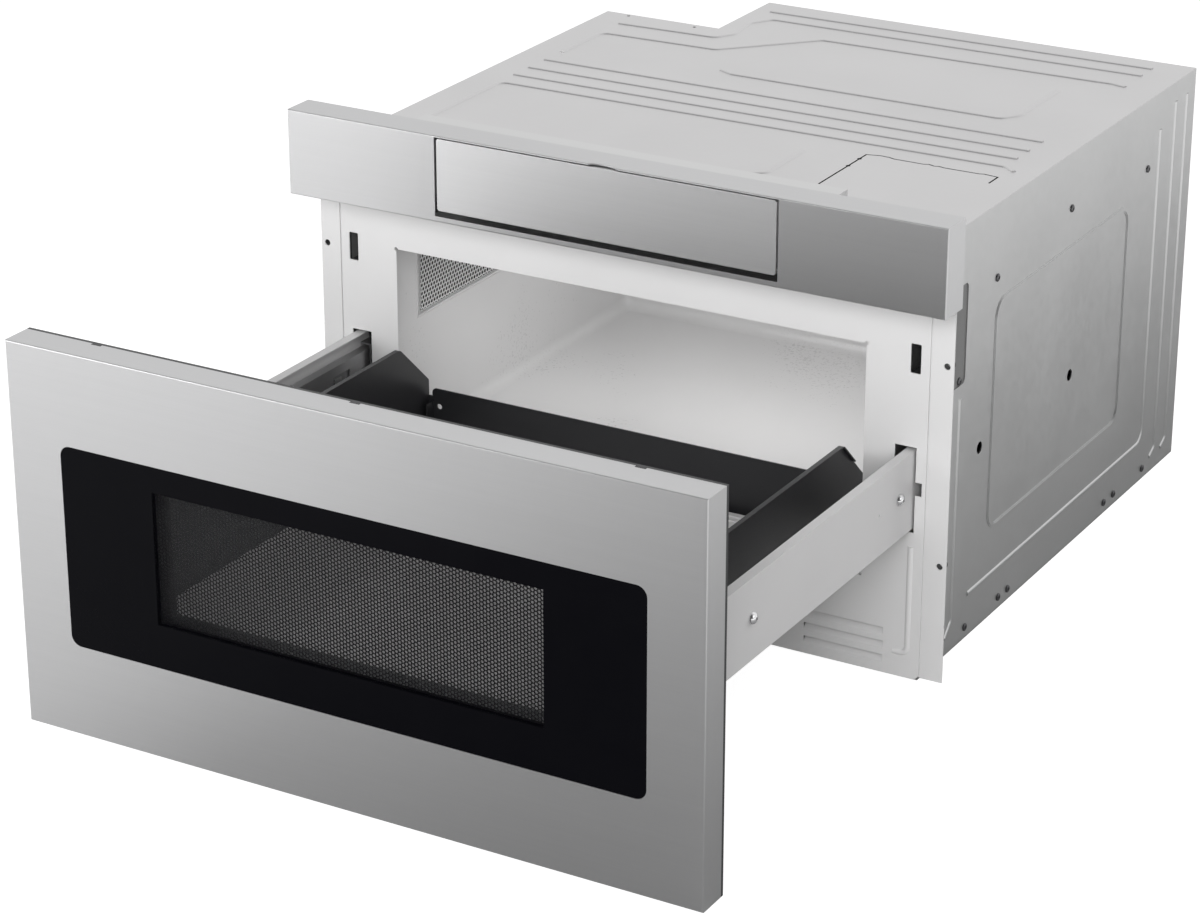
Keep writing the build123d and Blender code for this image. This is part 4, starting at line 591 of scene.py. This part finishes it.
def screw_row():
    """Sets a head on each point, turned to the point's facing, with a turn of its own."""
    row = Recipe("screw_row", Head="Object", Seed="Int", Finish="Material")
    facing = row.node("GeometryNodeInputNamedAttribute", [("data_type", "FLOAT_VECTOR")],
                      Name="facing")
    head = row.node("GeometryNodeObjectInfo", Object=row.given["Head"])
    turned = row.node("FunctionNodeAlignRotationToVector", [("axis", "Z")],
                      Vector=facing.outputs["Attribute"])
    turn = row.node("FunctionNodeRandomValue", [("data_type", "FLOAT")], Seed=row.given["Seed"])
    turn.inputs[2].default_value = 0.0
    turn.inputs[3].default_value = pi / 2
    own = row.node("FunctionNodeEulerToRotation", Euler=row.vector(Z=turn.outputs[1]))
    both = row.node("FunctionNodeRotateRotation", [("rotation_space", "LOCAL")],
                    Rotation=turned.outputs["Rotation"], Rotate_By=own.outputs["Rotation"])
    points = row.node("GeometryNodeInstanceOnPoints", Points=row.given["Geometry"],
                      Instance=head.outputs["Geometry"], Rotation=both.outputs["Rotation"])
    row.end(points.outputs["Instances"])
    return row


screw_recipe = screw_row()


def dressed_screws(name, node, body, slot, rise, **shape):
    """Heads in place of a CAD node's plain screws."""
    seats = []
    for low, high in islands(node):
        side = 1 if low.x > 0 else -1
        middle = (low + high) / 2
        outer = high.x if side > 0 else low.x
        seats.append((Vector((outer - side * rise, middle.y, middle.z)), side))
    points = mesh_from(name + "_points", [place for place, side in seats])
    facing = points.data.attributes.new("facing", "FLOAT_VECTOR", "POINT")
    for index, (place, side) in enumerate(seats):
        facing.data[index].vector = (side, 0, 0)
    head = screw_head(name + "_head", rise=rise, **shape)
    made = screw_recipe.apply(name, points, Head=head, Seed=TURN_SEED, Finish=finishes[slot])
    bpy.data.objects.remove(head)
    smooth(made, SMOOTH_ANGLE)
    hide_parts(node)
    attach(made, body)


dressed_screws("cabinet_screws", "panel_screws", "chassis", "screw_dark", rise=1.8 * MM,
               radius=3.4 * MM, flat=0.35, cross=1.9 * MM, deep=1.2 * MM)
dressed_screws("rail_screws", "bracket_screws", "drawer", "screw_bright", rise=4.2 * MM,
               radius=5.2 * MM, flat=0.10, cross=2.2 * MM, deep=1.8 * MM)


# ---- Camera at the photograph's angle -----------------------------------------------------------
CAMERA_PLACE = (1.35745, -2.38939, 1.30128)
HEADING, LOOK_DOWN, ROLL = 30.24, 22.70, -0.1       # degrees; heading from +Y to the left
LENS, SENSOR = 107.63, 36.0                         # millimetres
SHIFT_X, SHIFT_Y = 0.0117, -0.0133

camera_data = bpy.data.cameras.new("photo_camera")
camera = new_object("photo_camera", camera_data)
camera.matrix_world = (Matrix.Translation(CAMERA_PLACE)
                       @ Matrix.Rotation(radians(HEADING), 4, "Z")
                       @ Matrix.Rotation(radians(90.0 - LOOK_DOWN), 4, "X")
                       @ Matrix.Rotation(radians(ROLL), 4, "Z"))
camera_data.sensor_fit = "HORIZONTAL"
camera_data.sensor_width = SENSOR
camera_data.lens = LENS
camera_data.shift_x = SHIFT_X
camera_data.shift_y = SHIFT_Y
camera_data.clip_start = 0.05
bpy.context.scene.camera = camera

# ---- Floor --------------------------------------------------------------------------------------
FLOOR_HALF = 14.0
FLOOR_DROP = 0.6 * MM       # below the unit's underside, so that the two don't coincide
FLOOR_GREY = 0.34
FLOOR_LIFT = 0.92           # added for the eye alone, so that the floor reads white
# Painted reflection: what gloss sees of the floor glows in tones by X, from the left to the right
# of the unit.
GRADE_REACH = 1.5
GRADE = ((-1.4, 0.62), (-0.75, 0.60), (-0.35, 0.60), (-0.12, 0.10), (0.30, 0.0), (0.62, 0.10),
         (1.0, 0.95))

floor = mesh_from("floor", [(x * FLOOR_HALF, y * FLOOR_HALF, -FLOOR_DROP) for x, y in CORNERS],
                  [(0, 1, 2, 3)])
ground = Finish("floor", (FLOOR_GREY, FLOOR_GREY, FLOOR_GREY), 0.9, Specular_IOR_Level=0.0,
                Emission_Color=(1, 1, 1, 1))
ray = ground.node("ShaderNodeLightPath").outputs
grade = ground.node("ShaderNodeValToRGB", Fac=ground.spread(ground.axes()["X"], 0.0, 1.0,
                                                            -GRADE_REACH, GRADE_REACH))
grade.color_ramp.interpolation = "B_SPLINE"
stops = grade.color_ramp.elements
for index, (x, tone) in enumerate(GRADE):
    stop = stops[index] if index < 2 else stops.new(1.0)
    stop.position = (x + GRADE_REACH) / (2 * GRADE_REACH)
    stop.color = (tone, tone, tone, 1.0)
# The floor glows for gloss rays alone, a painted reflection in the metal.
gloss_share = ground.math("MULTIPLY", grade.outputs["Color"], ray["Is Glossy Ray"])
eye_share = ground.math("MULTIPLY", ray["Is Camera Ray"], FLOOR_LIFT)
ground.wire(ground.math("ADD", gloss_share, eye_share), "Emission Strength")
floor.data.materials.append(ground.material)

# ---- World and lamps ----------------------------------------------------------------------------
# White to the eye and through glass; gloss sees a white sweep behind and a dim room in front.
SWEEP, ROOM, FILL = 0.95, 0.10, 0.25
SWEEP_TURN = 0.6            # how far from the sides the room has become the sweep

world = bpy.data.worlds.new("studio")
bpy.context.scene.world = world
world.use_nodes = True
sky = Nodes(world.node_tree)
background = sky.tree.nodes["Background"].inputs
background["Color"].default_value = (1, 1, 1, 1)
ray = sky.node("ShaderNodeLightPath").outputs
seen = sky.math("MAXIMUM", ray["Is Camera Ray"], ray["Is Transmission Ray"])
toward = sky.node("ShaderNodeTexCoord").outputs["Generated"]
sweep = sky.node("ShaderNodeMapRange", [("interpolation_type", "SMOOTHSTEP")],
                 Value=sky.node("ShaderNodeSeparateXYZ", Vector=toward).outputs["Y"],
                 From_Min=-SWEEP_TURN, From_Max=SWEEP_TURN, To_Min=ROOM, To_Max=SWEEP)
lit = sky.node("ShaderNodeMapRange", Value=ray["Is Glossy Ray"], To_Min=FILL,
               To_Max=sweep.outputs["Result"])
strength = sky.node("ShaderNodeMapRange", Value=seen, To_Min=lit.outputs["Result"], To_Max=1.0)
sky.feed(background["Strength"], strength.outputs["Result"])

# Name, place, aim, width, height, watts, and whether gloss sees the lamp itself.
LAMPS = (
    ("front", (1.2, -3.1, 1.5), (0.0, 0.1, 0.2), 2.4, 2.4, 115.0, False),
    ("left_near", (-1.35, -1.45, 0.75), (-0.1, -0.2, 0.25), 1.4, 1.2, 16.0, True),
    ("back_right", (1.7, 2.1, 1.5), (0.2, 0.2, 0.3), 1.6, 1.4, 30.0, False),
    ("right", (2.8, -0.4, 1.4), (0.0, 0.0, 0.2), 1.6, 1.6, 8.0, True),
    ("cavity_fill", (0.0, 0.20, 0.270), (0.0, 0.20, 0.0), 0.36, 0.26, 0.30, True),
)
for name, place, aim, width, height, watts, in_gloss in LAMPS:
    data = bpy.data.lights.new(name, "AREA")
    data.shape = "RECTANGLE"
    data.size = width
    data.size_y = height
    data.energy = watts
    lamp = new_object(name, data)
    lamp.location = place
    lamp.rotation_euler = (Vector(aim) - Vector(place)).to_track_quat("-Z", "Y").to_euler()
    lamp.visible_camera = False
    lamp.visible_glossy = in_gloss

bpy.context.scene.view_settings.view_transform = "Standard"
